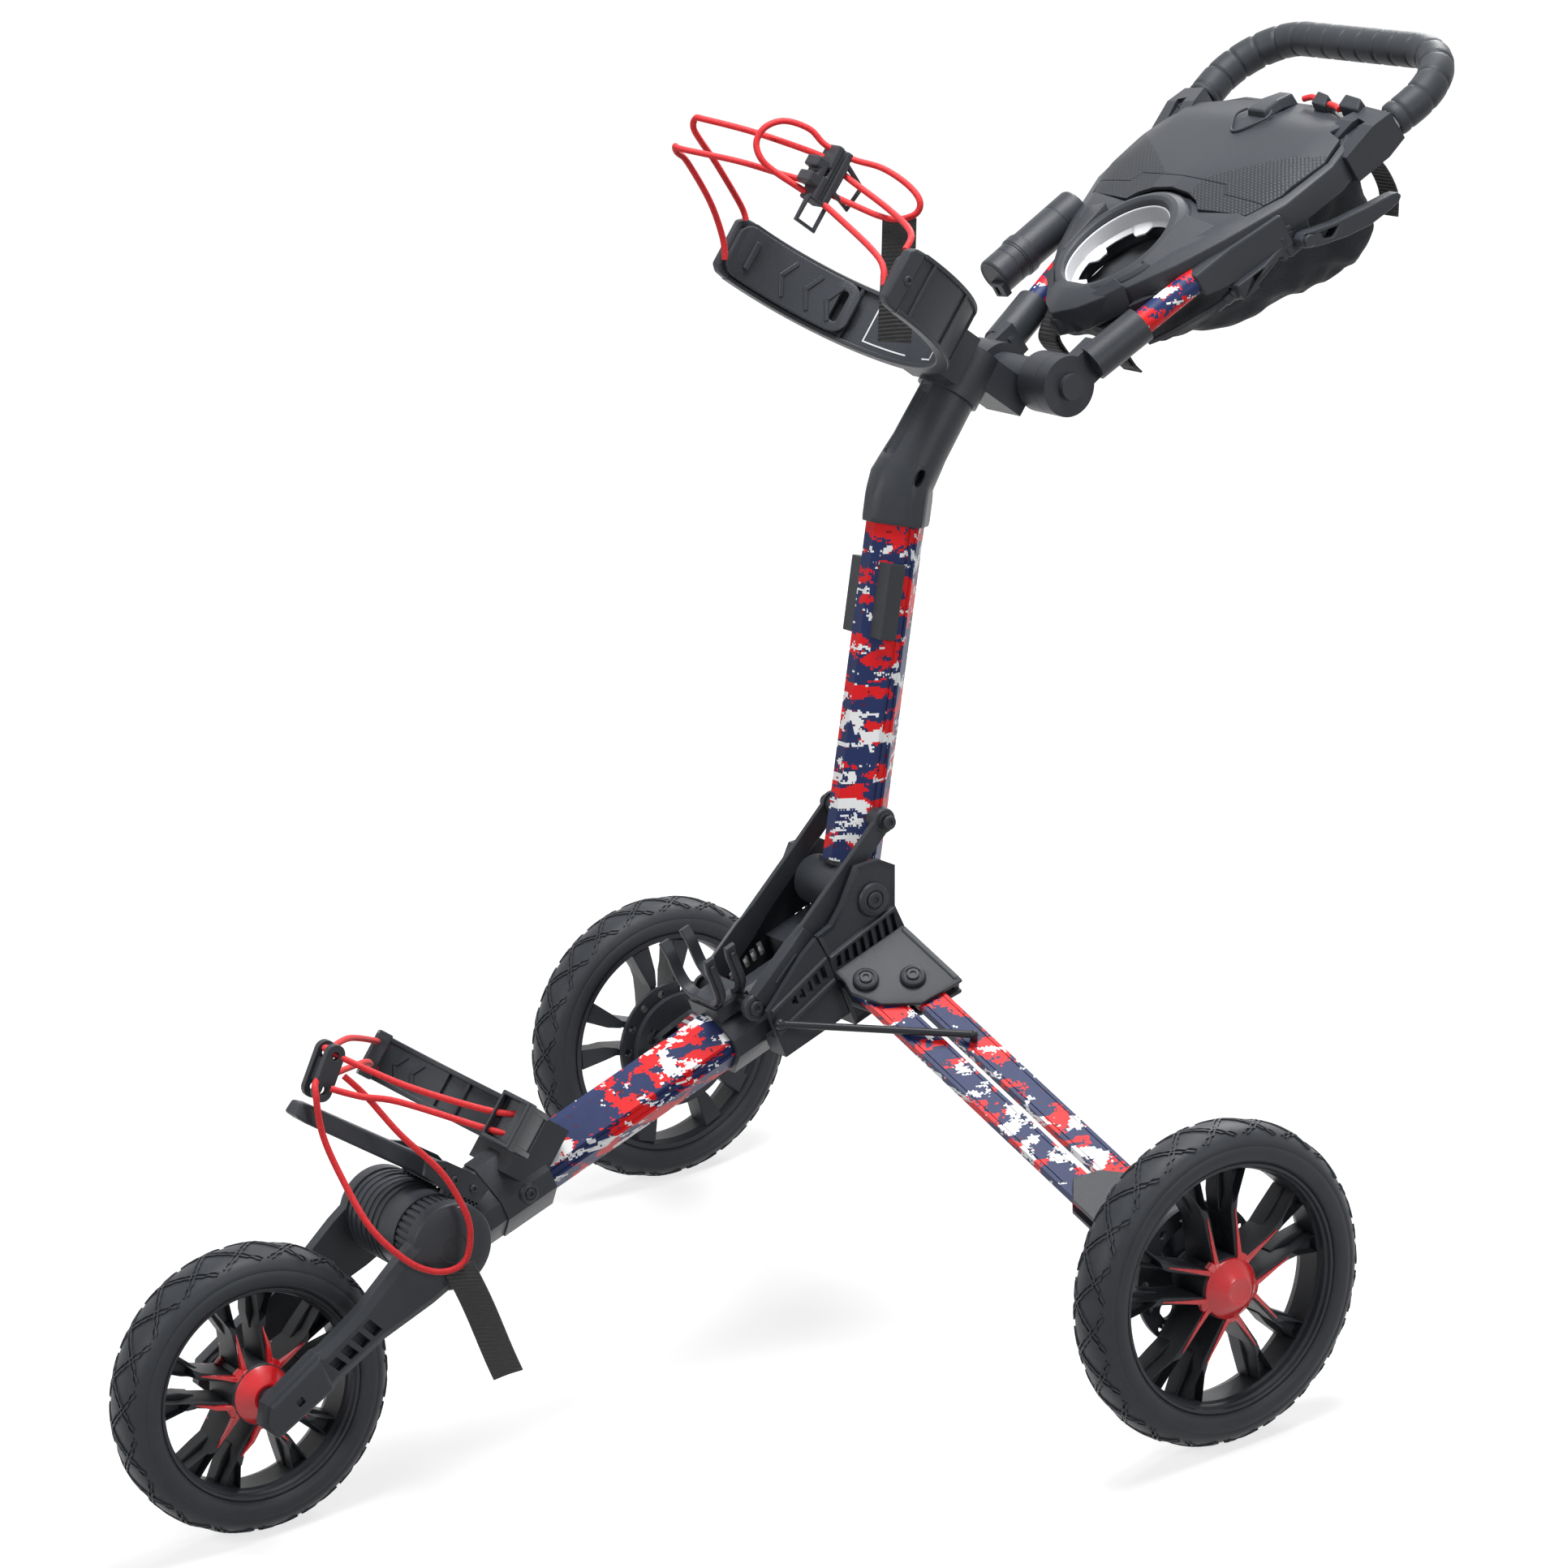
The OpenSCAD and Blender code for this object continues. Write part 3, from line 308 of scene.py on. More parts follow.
finishes = {
    "camo_paint": camoPaint(),
    "black_plastic": blackPlastic("blackPlastic", (0.0330, 0.0365, 0.0435), 0.38, 1000, 0.00020),
    "foam_tyre": foamTyre(),
    "red_plastic": redPlastic(),
    "steel": plainSteel("plainSteel", (0.55, 0.56, 0.58), 0.28),
    "black_steel": blackPlastic("blackSteel", (0.020, 0.022, 0.026), 0.30, 900, 0.00005),
    "red_elastic": redElastic(),
    "black_fabric": wovenFabric(),
    "soft_rubber": softRubber(),
    "cable": plainSteel("cableSteel", (0.42, 0.43, 0.45), 0.35),
}
webbing = ribbedWebbing()
palePlastic = paleRing()
knurledBlack = knurledPlastic()
print("materials made,", len(bpy.data.materials))

# every CAD node starts with the finish of its slot
for part in frame["record"]["subparts"]:
    mesh = nodes[part["node"]].data
    mesh.materials.clear()
    mesh.materials.append(finishes[part["material_slot"]])


# modelling helpers; most give back the piece that they shaped

def alone(piece):
    bpy.ops.object.select_all(action="DESELECT")
    piece.select_set(True)
    bpy.context.view_layer.objects.active = piece


def start(kind, **settings):
    # a fresh primitive, with nothing else selected
    bpy.ops.object.select_all(action="DESELECT")
    getattr(bpy.ops.mesh, "primitive_" + kind + "_add")(**settings)
    return bpy.context.object


def edit(piece, kind="VERT", whole=False):
    alone(piece)
    bpy.ops.object.mode_set(mode="EDIT")
    bpy.ops.mesh.select_mode(type=kind)
    if whole:
        bpy.ops.mesh.select_all(action="SELECT")


def leave():
    bpy.ops.object.mode_set(mode="OBJECT")


def pick(piece, kind, test):
    edit(piece, kind)
    bpy.ops.mesh.select_all(action="DESELECT")
    leave()
    items = {"VERT": piece.data.vertices, "EDGE": piece.data.edges, "FACE": piece.data.polygons}[kind]
    for item in items:
        item.select = bool(test(item))
    bpy.ops.object.mode_set(mode="EDIT")


def settle(piece, where):
    piece.matrix_world = where
    alone(piece)
    bpy.ops.object.transform_apply(location=True, rotation=True, scale=True)
    return piece


def modify(piece, kind, **settings):
    alone(piece)
    modifier = piece.modifiers.new(kind.lower(), kind)
    for key, value in settings.items():
        setattr(modifier, key, value)
    bpy.ops.object.modifier_apply(modifier=modifier.name)
    return piece


def shade(piece, angle):
    alone(piece)
    bpy.ops.object.shade_smooth_by_angle(angle=math.radians(angle))
    return piece


def soften(piece, width, segments=2, angle=30, smooth=14):
    modify(piece, "BEVEL", width=width, segments=segments, limit_method="ANGLE",
           angle_limit=math.radians(angle))
    return shade(piece, smooth)


def cleanNormals(piece):
    edit(piece, whole=True)
    bpy.ops.mesh.remove_doubles(threshold=0.00001)
    bpy.ops.mesh.normals_make_consistent(inside=False)
    leave()
    return piece


def join(parts):
    alone(parts[0])
    for other in parts[1:]:
        other.select_set(True)
    bpy.ops.object.join()
    return parts[0]


def again(piece, where):
    copy = bpy.data.objects.new("copy", piece.data.copy())
    scene.collection.objects.link(copy)
    copy.data.transform(where)
    if where.determinant() < 0:
        copy.data.flip_normals()
    return copy


def cutAway(piece, *cutters):
    for cutter in cutters:
        modify(piece, "BOOLEAN", object=cutter, operation="DIFFERENCE", solver="EXACT")
        bpy.data.objects.remove(cutter)
    return piece


def raiseTop(piece, inset, rise, way=1):
    # inset the face that looks up, or down where way is -1, and move it
    top = max(way * v.co.z for v in piece.data.vertices)
    pick(piece, "FACE", lambda f: way * f.normal.z > 0.95 and way * f.center.z > top - 0.0004)
    bpy.ops.mesh.inset(thickness=inset)
    bpy.ops.transform.translate(value=(0, 0, rise))
    leave()
    return piece


def dress(piece, name, body, slotName, *replaced, finish=None):
    piece.name = name
    piece.data.name = name
    piece.data.materials.clear()
    piece.data.materials.append(finish or finishes[slotName])
    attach(piece, body)
    if replaced:
        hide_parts(*replaced)
    return piece


def turned(profile, steps, ring=True):
    # a lathe shape round Z: one circle, extruded from step to step
    piece = start("circle", vertices=steps, radius=profile[0][0])
    edit(piece, whole=True)
    bpy.ops.transform.translate(value=(0, 0, profile[0][1]))
    if not ring:
        bpy.ops.mesh.edge_face_add()
        bpy.ops.mesh.select_mode(type="EDGE")
    track = profile + profile[:1] if ring else profile
    for (r0, h0), (r1, h1) in zip(track, track[1:]):
        bpy.ops.mesh.extrude_edges_move()
        bpy.ops.transform.translate(value=(0, 0, h1 - h0))
        bpy.ops.transform.resize(value=(r1 / r0, r1 / r0, 1), center_override=(0, 0, h1))
    if not ring:
        bpy.ops.mesh.edge_face_add()
    leave()
    return cleanNormals(piece)


def plate(outline, thick, low=0.0):
    # a flat outline in XY, extruded to its thickness
    piece = start("circle", vertices=len(outline), radius=1, fill_type="NGON")
    for vertex, (x, y) in zip(piece.data.vertices, outline):
        vertex.co = (x, y, low)
    edit(piece, whole=True)
    bpy.ops.mesh.extrude_region_move(TRANSFORM_OT_translate={"value": (0, 0, thick)})
    leave()
    return cleanNormals(piece)


def block(low, high):
    low, high = Vector(low), Vector(high)
    return settle(start("cube", size=1),
                  Matrix.Translation((low + high) / 2) @ Matrix.Diagonal((*(high - low), 1)))


def cylinderAt(x, y, z0, z1, radius, sides=48):
    piece = start("cylinder", vertices=sides, radius=radius, depth=z1 - z0)
    return settle(piece, shift(x, y, (z0 + z1) / 2))


def spar(sections):
    # a beam through sections with the same number of corners
    sections = [[Vector(point) for point in section] for section in sections]
    count = len(sections[0])
    piece = start("circle", vertices=count, radius=1, fill_type="NGON")
    for vertex, point in zip(piece.data.vertices, sections[0]):
        vertex.co = point
    for before, after in zip(sections, sections[1:]):
        edit(piece, "FACE", whole=before is sections[0])
        bpy.ops.mesh.extrude_region_move()
        leave()
        for vertex in [v for v in piece.data.vertices if v.select]:
            near = min(range(count), key=lambda k: (vertex.co - before[k]).length)
            vertex.co = after[near]
    return cleanNormals(piece)


def across(y, left, right, low, high):
    # an upright rectangle across Y
    return [(left, y, low), (right, y, low), (right, y, high), (left, y, high)]


def smoothPath(points, steps):
    pts = [Vector(p) for p in points]
    path = []
    for i in range(len(pts) - 1):
        a, b = pts[max(i - 1, 0)], pts[i]
        c, d = pts[i + 1], pts[min(i + 2, len(pts) - 1)]
        for k in range(steps):
            t = k / steps
            path.append(0.5 * (2 * b + (c - a) * t + (2 * a - 5 * b + 4 * c - d) * t * t
                               + (3 * b - a - 3 * c + d) * t ** 3))
    return path + [pts[-1]]


def line(path, radius, sides=3, radii=None):
    curve = bpy.data.curves.new("line", "CURVE")
    curve.dimensions = "3D"
    curve.bevel_depth = radius
    curve.bevel_resolution = sides
    curve.use_fill_caps = True
    spline = curve.splines.new("POLY")
    spline.points.add(len(path) - 1)
    for k, point in enumerate(path):
        spline.points[k].co = (*point, 1)
        spline.points[k].radius = radii[k] if radii else 1.0
    piece = bpy.data.objects.new("line", curve)
    scene.collection.objects.link(piece)
    return piece


def tubeMesh(path, radius, sides=3, radii=None):
    alone(line(path, radius, sides, radii))
    bpy.ops.object.convert(target="MESH")
    return shade(cleanNormals(bpy.context.object), 40)


def ribbon(points, side, wide, thick, steps=5):
    # a flat strip along a path, its width along one fixed direction
    path = smoothPath(points, steps)
    half = Vector(side) * wide / 2
    rings = []
    for k, point in enumerate(path):
        way = (path[min(k + 1, len(path) - 1)] - path[max(k - 1, 0)]).normalized()
        out = way.cross(Vector(side)).normalized() * thick / 2
        rings.append([point - half - out, point + half - out, point + half + out, point - half + out])
    return spar(rings)


def polar(radius, degrees, height):
    a = math.radians(degrees)
    return Vector((radius * math.cos(a), radius * math.sin(a), height))


def arcBand(radii, heights, angles, steps):
    # a curved band round Z between two radii, heights and angles
    (inner, outer), (low, high), (first, last) = radii, heights, angles
    corners = ((inner, low), (outer, low), (outer, high), (inner, high))
    turns = [first + (last - first) * k / steps for k in range(steps + 1)]
    return spar([[polar(r, a, z) for r, z in corners] for a in turns])


def softCopy(node, width):
    # the CAD node's own shape with its edges broken
    copy = bpy.data.objects.new(node, nodes[node].data.copy())
    scene.collection.objects.link(copy)
    alone(copy)
    bpy.ops.mesh.customdata_custom_splitnormals_clear()
    edit(copy, whole=True)
    bpy.ops.mesh.remove_doubles(threshold=0.00001)
    bpy.ops.mesh.dissolve_limited(angle_limit=math.radians(1.0))
    leave()
    return soften(copy, width, 2, 32, 16)


def screwHead(x, y, z, radius):
    # a round head with a six-sided socket
    head = turned([(radius, 0), (radius, 0.0011), (radius * 0.86, 0.0019), (radius * 0.52, 0.0019)],
                  24, ring=False)
    cutAway(head, cylinderAt(0, 0, 0.0006, 0.004, radius * 0.48, 6))
    return settle(soften(head, 0.0002, 1), shift(x, y, z))


def boltHead(radius, boss=0.0):
    # a socketed head, with a low cone round it where it sits in a boss
    head = screwHead(0, 0, 0, radius)
    if not boss:
        return head
    cone = turned([(radius * 1.12, -0.002), (boss, -0.002), (boss - 0.0012, 0.0004),
                   (radius * 1.3, 0.0012), (radius * 1.12, 0.0006)], 40)
    return join([head, soften(cone, 0.0003, 1)])


# the elastic cords, on the routes of the source in metres

cords = {
    "diameter": 0.0054,
    "upperFront": [(-0.116, -0.184, 0.134), (-0.116, -0.196, 0.142), (-0.106, -0.242, 0.156),
                   (-0.1, -0.268, 0.162), (-0.094, -0.284, 0.166), (-0.088, -0.29, 0.172),
                   (-0.08, -0.286, 0.174), (-0.048, -0.256, 0.182), (-0.008, -0.216, 0.188),
                   (0, -0.204, 0.186), (0.008, -0.192, 0.182), (0.05, -0.17, 0.17),
                   (0.1, -0.174, 0.152), (0.114, -0.18, 0.134)],
    "upperLoop": [(-0.116, -0.184, 0.096), (-0.116, -0.196, 0.11), (-0.112, -0.226, 0.128),
                  (-0.104, -0.268, 0.142), (-0.098, -0.284, 0.142), (-0.092, -0.292, 0.144),
                  (-0.086, -0.288, 0.144), (-0.05, -0.258, 0.154), (-0.026, -0.232, 0.16),
                  (-0.008, -0.214, 0.164), (0.004, -0.194, 0.164), (0.018, -0.182, 0.164),
                  (0.038, -0.168, 0.164), (0.05, -0.158, 0.168), (0.06, -0.152, 0.178),
                  (0.062, -0.156, 0.188), (0.05, -0.166, 0.196), (0.03, -0.182, 0.2),
                  (0.008, -0.198, 0.197), (-0.006, -0.218, 0.197), (-0.014, -0.234, 0.202),
                  (-0.024, -0.252, 0.198), (-0.03, -0.262, 0.186), (-0.032, -0.262, 0.172),
                  (-0.028, -0.254, 0.162), (-0.022, -0.24, 0.158), (0, -0.208, 0.154),
                  (0.026, -0.196, 0.146), (0.098, -0.188, 0.12), (0.114, -0.182, 0.1)],
    "lowerTop": [(-0.112, -0.096, 0.052), (-0.106, -0.108, 0.054), (-0.04, -0.176, 0.044),
                 (-0.01, -0.206, 0.03), (0.002, -0.218, 0.026), (0.012, -0.204, 0.026),
                 (0.05, -0.164, 0.03), (0.094, -0.118, 0.042), (0.112, -0.096, 0.052)],
    "lowerLoop": [(-0.112, -0.094, 0.034), (-0.104, -0.106, 0.034), (-0.046, -0.15, 0.032),
                  (-0.004, -0.198, 0.01), (0.01, -0.216, 0), (0.019, -0.216, -0.01),
                  (0.022, -0.196, -0.034), (0.032, -0.17, -0.056), (0.055, -0.136, -0.082),
                  (0.068, -0.1, -0.092), (0.072, -0.074, -0.09), (0.077, -0.06, -0.08),
                  (0.078, -0.056, -0.066), (0.078, -0.068, -0.044), (0.072, -0.088, -0.028),
                  (0.062, -0.11, -0.016), (0.042, -0.144, -0.006), (0.022, -0.176, 0.008),
                  (0.01, -0.196, 0.014)],
    "lowerSide": [(0.018, -0.206, 0), (0.03, -0.184, 0.006), (0.05, -0.164, 0.016),
                  (0.094, -0.116, 0.028), (0.112, -0.094, 0.034)],
}


def elastic(key, place, body, node):
    path = [place @ p for p in smoothPath(cords[key], 6)]
    length = sum((b - a).length for a, b in zip(path, path[1:]))
    piece = line(path, cords["diameter"] / 2)
    dress(piece, key + "Cord", body, "red_elastic", node)
    print("cord", key, round(length, 3), "m")
    return piece, path[0], length


buckle = {"main": ((-0.01, -0.2155, 0.15), (0.01, -0.1985, 0.2)),
          "groove": ((0.007, -0.2088, 0.14), (0.02, -0.2052, 0.21)),
          "waist": ((-0.02, -0.217, 0.1715), (0.02, -0.212, 0.179)),
          "lug": ((-0.009, -0.227, 0.16), (0.009, -0.214, 0.184)),
          "notch": ((-0.02, -0.23, 0.17), (0.02, -0.221, 0.1745)),
          "loops": [[(-0.2185, 0.151), (-0.2185, 0.129), (-0.1985, 0.129), (-0.1985, 0.151)],
                    [(-0.199, 0.19), (-0.177, 0.182), (-0.18, 0.16), (-0.199, 0.165)]],
          "loopX": 0.008, "loopRadius": 0.0023}


def makeUpperHook(b):
    main = soften(cutAway(block(*b["main"]), block(*b["groove"]), block(*b["waist"])), 0.0018)
    lug = soften(cutAway(block(*b["lug"]), block(*b["notch"])), 0.0016)
    loops = [tubeMesh([(b["loopX"], y, z) for y, z in loop + loop[:1]], b["loopRadius"], 2)
             for loop in b["loops"]]
    return settle(join([main, lug] + loops), headFrame)


clasp = {"half": 0.024, "wide": 0.0085, "thick": 0.006, "cheekX": (-0.0095, 0.0065), "holeY": 0.0145,
         "hole": 0.0034, "bridge": ((-0.006, -0.0055, -0.01), (0.009, 0.0055, 0.01)),
         "at": (0, -0.21, 0.01), "lean": 10}


def makeLowerHook(c):
    arc = [math.radians(a) for a in range(0, 181, 15)]
    outline = [(c["wide"] * math.cos(a), c["half"] - c["wide"] + c["wide"] * math.sin(a)) for a in arc]
    outline += [(-x, -y) for x, y in outline]
    parts = []
    for x in c["cheekX"]:
        cheek = plate(outline, c["thick"])
        cutAway(cheek, *(cylinderAt(0, way * c["holeY"], -0.01, 0.02, c["hole"], 20) for way in (-1, 1)))
        parts.append(settle(soften(cheek, 0.0014, 2, 40), shift(x, 0, 0) @ sideways))
    parts.append(soften(block(*c["bridge"]), 0.0012))
    return settle(join(parts), lowerFrame @ shift(*c["at"]) @ turn(c["lean"], "X"))


tabs = {"upper": {"size": (0.028, 0.103), "place": headFrame @ shift(0.050, -0.158, 0.170),
                  "curl": 0.004, "lean": 7},
        "lower": {"size": (0.026, 0.099), "place": lowerFrame @ shift(0.077, -0.058, -0.077),
                  "curl": 0.003, "lean": -18},
        "thick": 0.0018, "cup": 0.0009}


def pullTab(key, body, node):
    t = tabs[key]
    w, h = t["size"]
    piece = start("grid", x_subdivisions=6, y_subdivisions=26, size=1)
    for v in piece.data.vertices:
        x, y = v.co.x * w, (v.co.y - 0.5) * h
        v.co = (x, t["curl"] * math.sin(-y / h * 5.0) + tabs["cup"] * math.cos(x / w * 5), y)
    modify(piece, "SOLIDIFY", thickness=tabs["thick"], offset=0)
    settle(piece, t["place"] @ turn(40, "X") @ turn(50, "Z") @ turn(t["lean"], "Y"))
    soften(piece, 0.0004, 2, 50)
    return dress(piece, key + "PullTab", body, "black_fabric", node, finish=webbing)


upperHook = dress(makeUpperHook(buckle), "upperHook", "mast", "black_plastic", "upper_hook")
lowerHook = dress(makeLowerHook(clasp), "lowerHook", "frame", "black_plastic", "lower_hook")
upperTab = pullTab("upper", "mast", "upper_pull_tab")
lowerTab = pullTab("lower", "frame", "lower_pull_tab")
for key, place, body, node, onIt in (
        ("upperFront", headFrame, "mast", "upper_cord", []),
        ("upperLoop", headFrame, "mast", "upper_cord", [upperHook, upperTab]),
        ("lowerTop", lowerFrame, "frame", "lower_cord", []),
        ("lowerLoop", lowerFrame, "frame", "lower_cord", [lowerHook, lowerTab]),
        ("lowerSide", lowerFrame, "frame", "lower_cord", [])):
    piece, exitAt, length = elastic(key, place, body, node)
print("cords made")


# wheels, made round Z with the outer side up, then set on their axles

tyres = {
    "rear": {"radius": 0.135, "width": 0.049, "ribs": 20},
    "front": {"radius": 0.120, "width": 0.052, "ribs": 18},
    "half": [(0.0312, 0.0046), (0.03, 0.003), (0.0288, 0.0012), (0.0262, 0.0003), (0.0215, 0),
             (0.0178, 0.0006), (0.0168, 0.0013), (0.0158, 0.001), (0.012, 0.0026), (0.0082, 0.0056),
             (0.0054, 0.0096), (0.0034, 0.0145), (0.0024, 0.0195)],  # below the tread, in from the side
    "crown": (0.002, 0.0004),
    "rib": {"width": 0.0017, "height": 0.0013, "apart": 0.0042, "slant": 41, "over": 0.018},
}


def makeTyre(key):
    t, b = tyres[key], tyres["rib"]
    top, w = t["radius"], t["width"] / 2
    half = [(top - deep, w - inward) for deep, inward in tyres["half"]]
    half.append((top - tyres["crown"][0], tyres["crown"][1]))
    body = shade(turned(half + [(r, -h) for r, h in reversed(half)], 144), 40)
    reach = (2 * w + b["over"]) / math.cos(math.radians(b["slant"]))
    ribs = []
    for way in (-1, 1):
        for side in (-0.5, 0.5):
            rib = start("grid", x_subdivisions=20, y_subdivisions=2, size=1)
            settle(rib, shift(top + 0.010, 0, 0) @ turn(way * b["slant"], "X") @ turn(90, "Y")
                   @ shift(0, side * b["apart"], 0) @ Matrix.Diagonal((reach, b["width"], 1, 1)))
            modify(rib, "SHRINKWRAP", target=body, wrap_method="NEAREST_SURFACEPOINT", offset=0.00005)
            modify(rib, "SOLIDIFY", thickness=b["height"], offset=1)
            soften(rib, 0.0005, 1, 40)
            ribs += [again(rib, turn(360 * k / t["ribs"] + way * 90 / t["ribs"], "Z"))
                     for k in range(t["ribs"])]
            bpy.data.objects.remove(rib)
    return join([body] + ribs)


rims = {
    "rear": {"outer": 0.1039, "inner": 0.0960, "half": 0.0212,
             "hub": [(0.0142, -0.024), (0.025, -0.024), (0.0262, -0.0225), (0.0262, 0.0148),
                     (0.0245, 0.0172), (0.0142, 0.0172)]},
    "front": {"outer": 0.0889, "inner": 0.0812, "half": 0.0226,
              "hub": [(0.0142, -0.0216), (0.025, -0.0216), (0.0262, -0.02), (0.0262, 0.02),
                      (0.025, 0.0216), (0.0142, 0.0216)]},
    "kink": 0.65, "pairs": 5,
}


def bladeSection(radius, degrees, lean, thick, low, high):
    # a standing rectangle across the blade's way
    side = Vector((-math.sin(math.radians(lean)), math.cos(math.radians(lean)), 0)) * thick / 2
    mid = polar(radius, degrees, 0)
    return [mid - side + Vector((0, 0, low)), mid + side + Vector((0, 0, low)),
            mid + side + Vector((0, 0, high)), mid - side + Vector((0, 0, high))]


def allRound(group):
    return group + [again(part, turn(360 / rims["pairs"] * k, "Z"))
                    for k in range(1, rims["pairs"]) for part in group]


def makeBlade(inner, kink):
    blade = spar([bladeSection(0.0240, 9, 22, 0.0056, -0.0190, 0.0166),
                  bladeSection(kink, 23.4, 33, 0.0060, -0.0186, 0.0122),
                  bladeSection(kink + (inner - kink) * 0.34, 23.0, 22, 0.0060, -0.0182, 0.0114),
                  bladeSection(inner + 0.0012, 22.2, 20, 0.0150, -0.0178, 0.0098)])
    pick(blade, "FACE", lambda f: f.normal.z > 0.9 and f.center.xy.length > (kink + inner) / 2)
    bpy.ops.mesh.inset(thickness=0.0015)
    bpy.ops.transform.translate(value=(0, 0, -0.009))
    leave()
    points = blade.data.vertices

    def topEdge(edge):
        a, b = (points[k].co for k in edge.vertices)
        return min(a.z, b.z) > 0.009 and abs(a.xy.length - b.xy.length) > 0.010

    pick(blade, "EDGE", topEdge)
    bpy.ops.mesh.bevel(offset=0.0011, segments=1)
    leave()
    return soften(blade, 0.0004, 2, 28)


def makeRim(key):
    r = rims[key]
    outer, inner, h = r["outer"], r["inner"], r["half"]
    kink = inner * rims["kink"]
    band = turned([(outer, -h), (outer, h - 0.002), (outer - 0.0012, h - 0.0008),
                   (outer - 0.0034, h - 0.0012), (outer - 0.004, h - 0.0042), (outer - 0.0058, h - 0.006),
                   (outer - 0.0064, h - 0.0105), (inner, h - 0.0135), (inner, -h + 0.008),
                   (inner + 0.003, -h)], 128)
    hub = turned(r["hub"], 48)
    blade = makeBlade(inner, kink)
    heel = spar([bladeSection(kink - 0.004, 23.4, 33, 0.0066, -0.0190, -0.0030),
                 bladeSection(kink + (inner - kink) * 0.3, 23.6, 24, 0.0130, -0.0192, -0.0040),
                 bladeSection(inner + 0.0012, 22.6, 21, 0.0190, -0.0194, -0.0050)])
    pair = [blade, soften(heel, 0.0008, 2, 28)]
    pair += [again(part, flipY) for part in pair]
    blades = allRound(pair)
    return join([soften(band, 0.0005), soften(hub, 0.0005)] + blades)


caps = {"cone": [(0.0238, -0.0022), (0.0252, -0.001), (0.0252, 0.0006), (0.024, 0.0022), (0.0128, 0.0114),
                 (0.0118, 0.012), (0.0096, 0.0121), (0.009, 0.0117)],
        "ring": [(0.0455, -0.0286), (0.06, -0.0286), (0.06, -0.0246), (0.0455, -0.0246)],
        "holes": 15, "hole": 0.0036, "holeAt": (0.0528, 0, -0.0266), "rear": 0.0176, "front": 0.0200}


def makeCap(key):
    # a cone with five lugs and ten red rays that end on the blades
    front = caps[key]
    cone = soften(turned([(r, h + front) for r, h in caps["cone"]], 64, ring=False), 0.0004, 2, 25)
    ray = spar([bladeSection(0.0205, 4.5, 14, 0.0060, front - 0.0060, front + 0.0034),
                bladeSection(0.0270, 10.5, 24, 0.0042, front - 0.0060, front + 0.0002),
                bladeSection(0.0400, 17.6, 30, 0.0030, front - 0.0050, front - 0.0016),
                bladeSection(rims[key]["inner"] * rims["kink"] + 0.0015, 23.3, 32, 0.0009, 0.0100, 0.0128)])
    lug = spar([bladeSection(0.0190, 0, 0, 0.0100, front - 0.0060, front + 0.0040),
                bladeSection(0.0300, 0, 0, 0.0070, front - 0.0060, front - 0.0014)])
    soften(ray, 0.0003)
    soften(lug, 0.0008)
    return join([cone] + allRound([ray, again(ray, flipY), lug]))


def makeBrakeRing():
    ring = turned(caps["ring"], 96)
    holes = [settle(cylinderAt(0, 0, -0.01, 0.01, caps["hole"], 16),
                    turn(360 * k / caps["holes"], "Z") @ shift(*caps["holeAt"]))
             for k in range(caps["holes"])]
    return soften(cutAway(ring, join(holes)), 0.0004, 1)


for label, make, slotName, node in (("tyre", makeTyre, "foam_tyre", "tyre"),
                                    ("rim", makeRim, "black_plastic", "rim"),
                                    ("hubCap", makeCap, "red_plastic", "hub_cap")):
    rear = settle(make("rear"), rearWheelFrame)
    dress(again(rear, flip), label + "Right", "right_wheel", slotName, node + "_right")
    dress(rear, label + "Left", "left_wheel", slotName, node + "_left")
    front = make("front")
    if make is makeCap:
        front = join([front, again(front, Matrix.Scale(-1, 4, (0, 0, 1)))])
    dress(settle(front, frontWheelFrame), label + "Front", "front_wheel", slotName, node + "_front")
ring = settle(makeBrakeRing(), rearWheelFrame)
dress(again(ring, flip), "brakeRingRight", "right_wheel", "black_plastic", "hub_cap_right")
dress(ring, "brakeRingLeft", "left_wheel", "black_plastic", "hub_cap_left")
print("wheels made")


# the rigid frame, from the solids with their edges broken

broken = {
    "frame": [("drum_housing", 0.0010)],
    "mast": [("mast_foot", 0.0008), ("head_collar", 0.0010), ("mast_clips", 0.0008)],
    "left_carrier": [("wheel_carrier_left", 0.0010)],
    "right_carrier": [("wheel_carrier_right", 0.0010)],
    "left_release": [("release_button_left", 0.0010)],
    "right_release": [("release_button_right", 0.0010)],
    "dial": [("tracking_dial", 0.0005)],
    "handle": [("yoke_arms", 0.0012)],
}
slotOf = {part["node"]: part["material_slot"] for part in frame["record"]["subparts"]}
for body, solids in broken.items():
    for node, width in solids:
        first, *rest = node.split("_")
        name = first + "".join(word.capitalize() for word in rest)
        dress(softCopy(node, width), name, body, slotOf[node], node)
for node in ("frame_pins", "frame_screws", "axle_front"):
    nodes[node].data.materials[0] = finishes["black_steel"]
print("frame solids dressed")


# the hub: side plates with a louvre row between two ridges, and a skirted flange over the leg

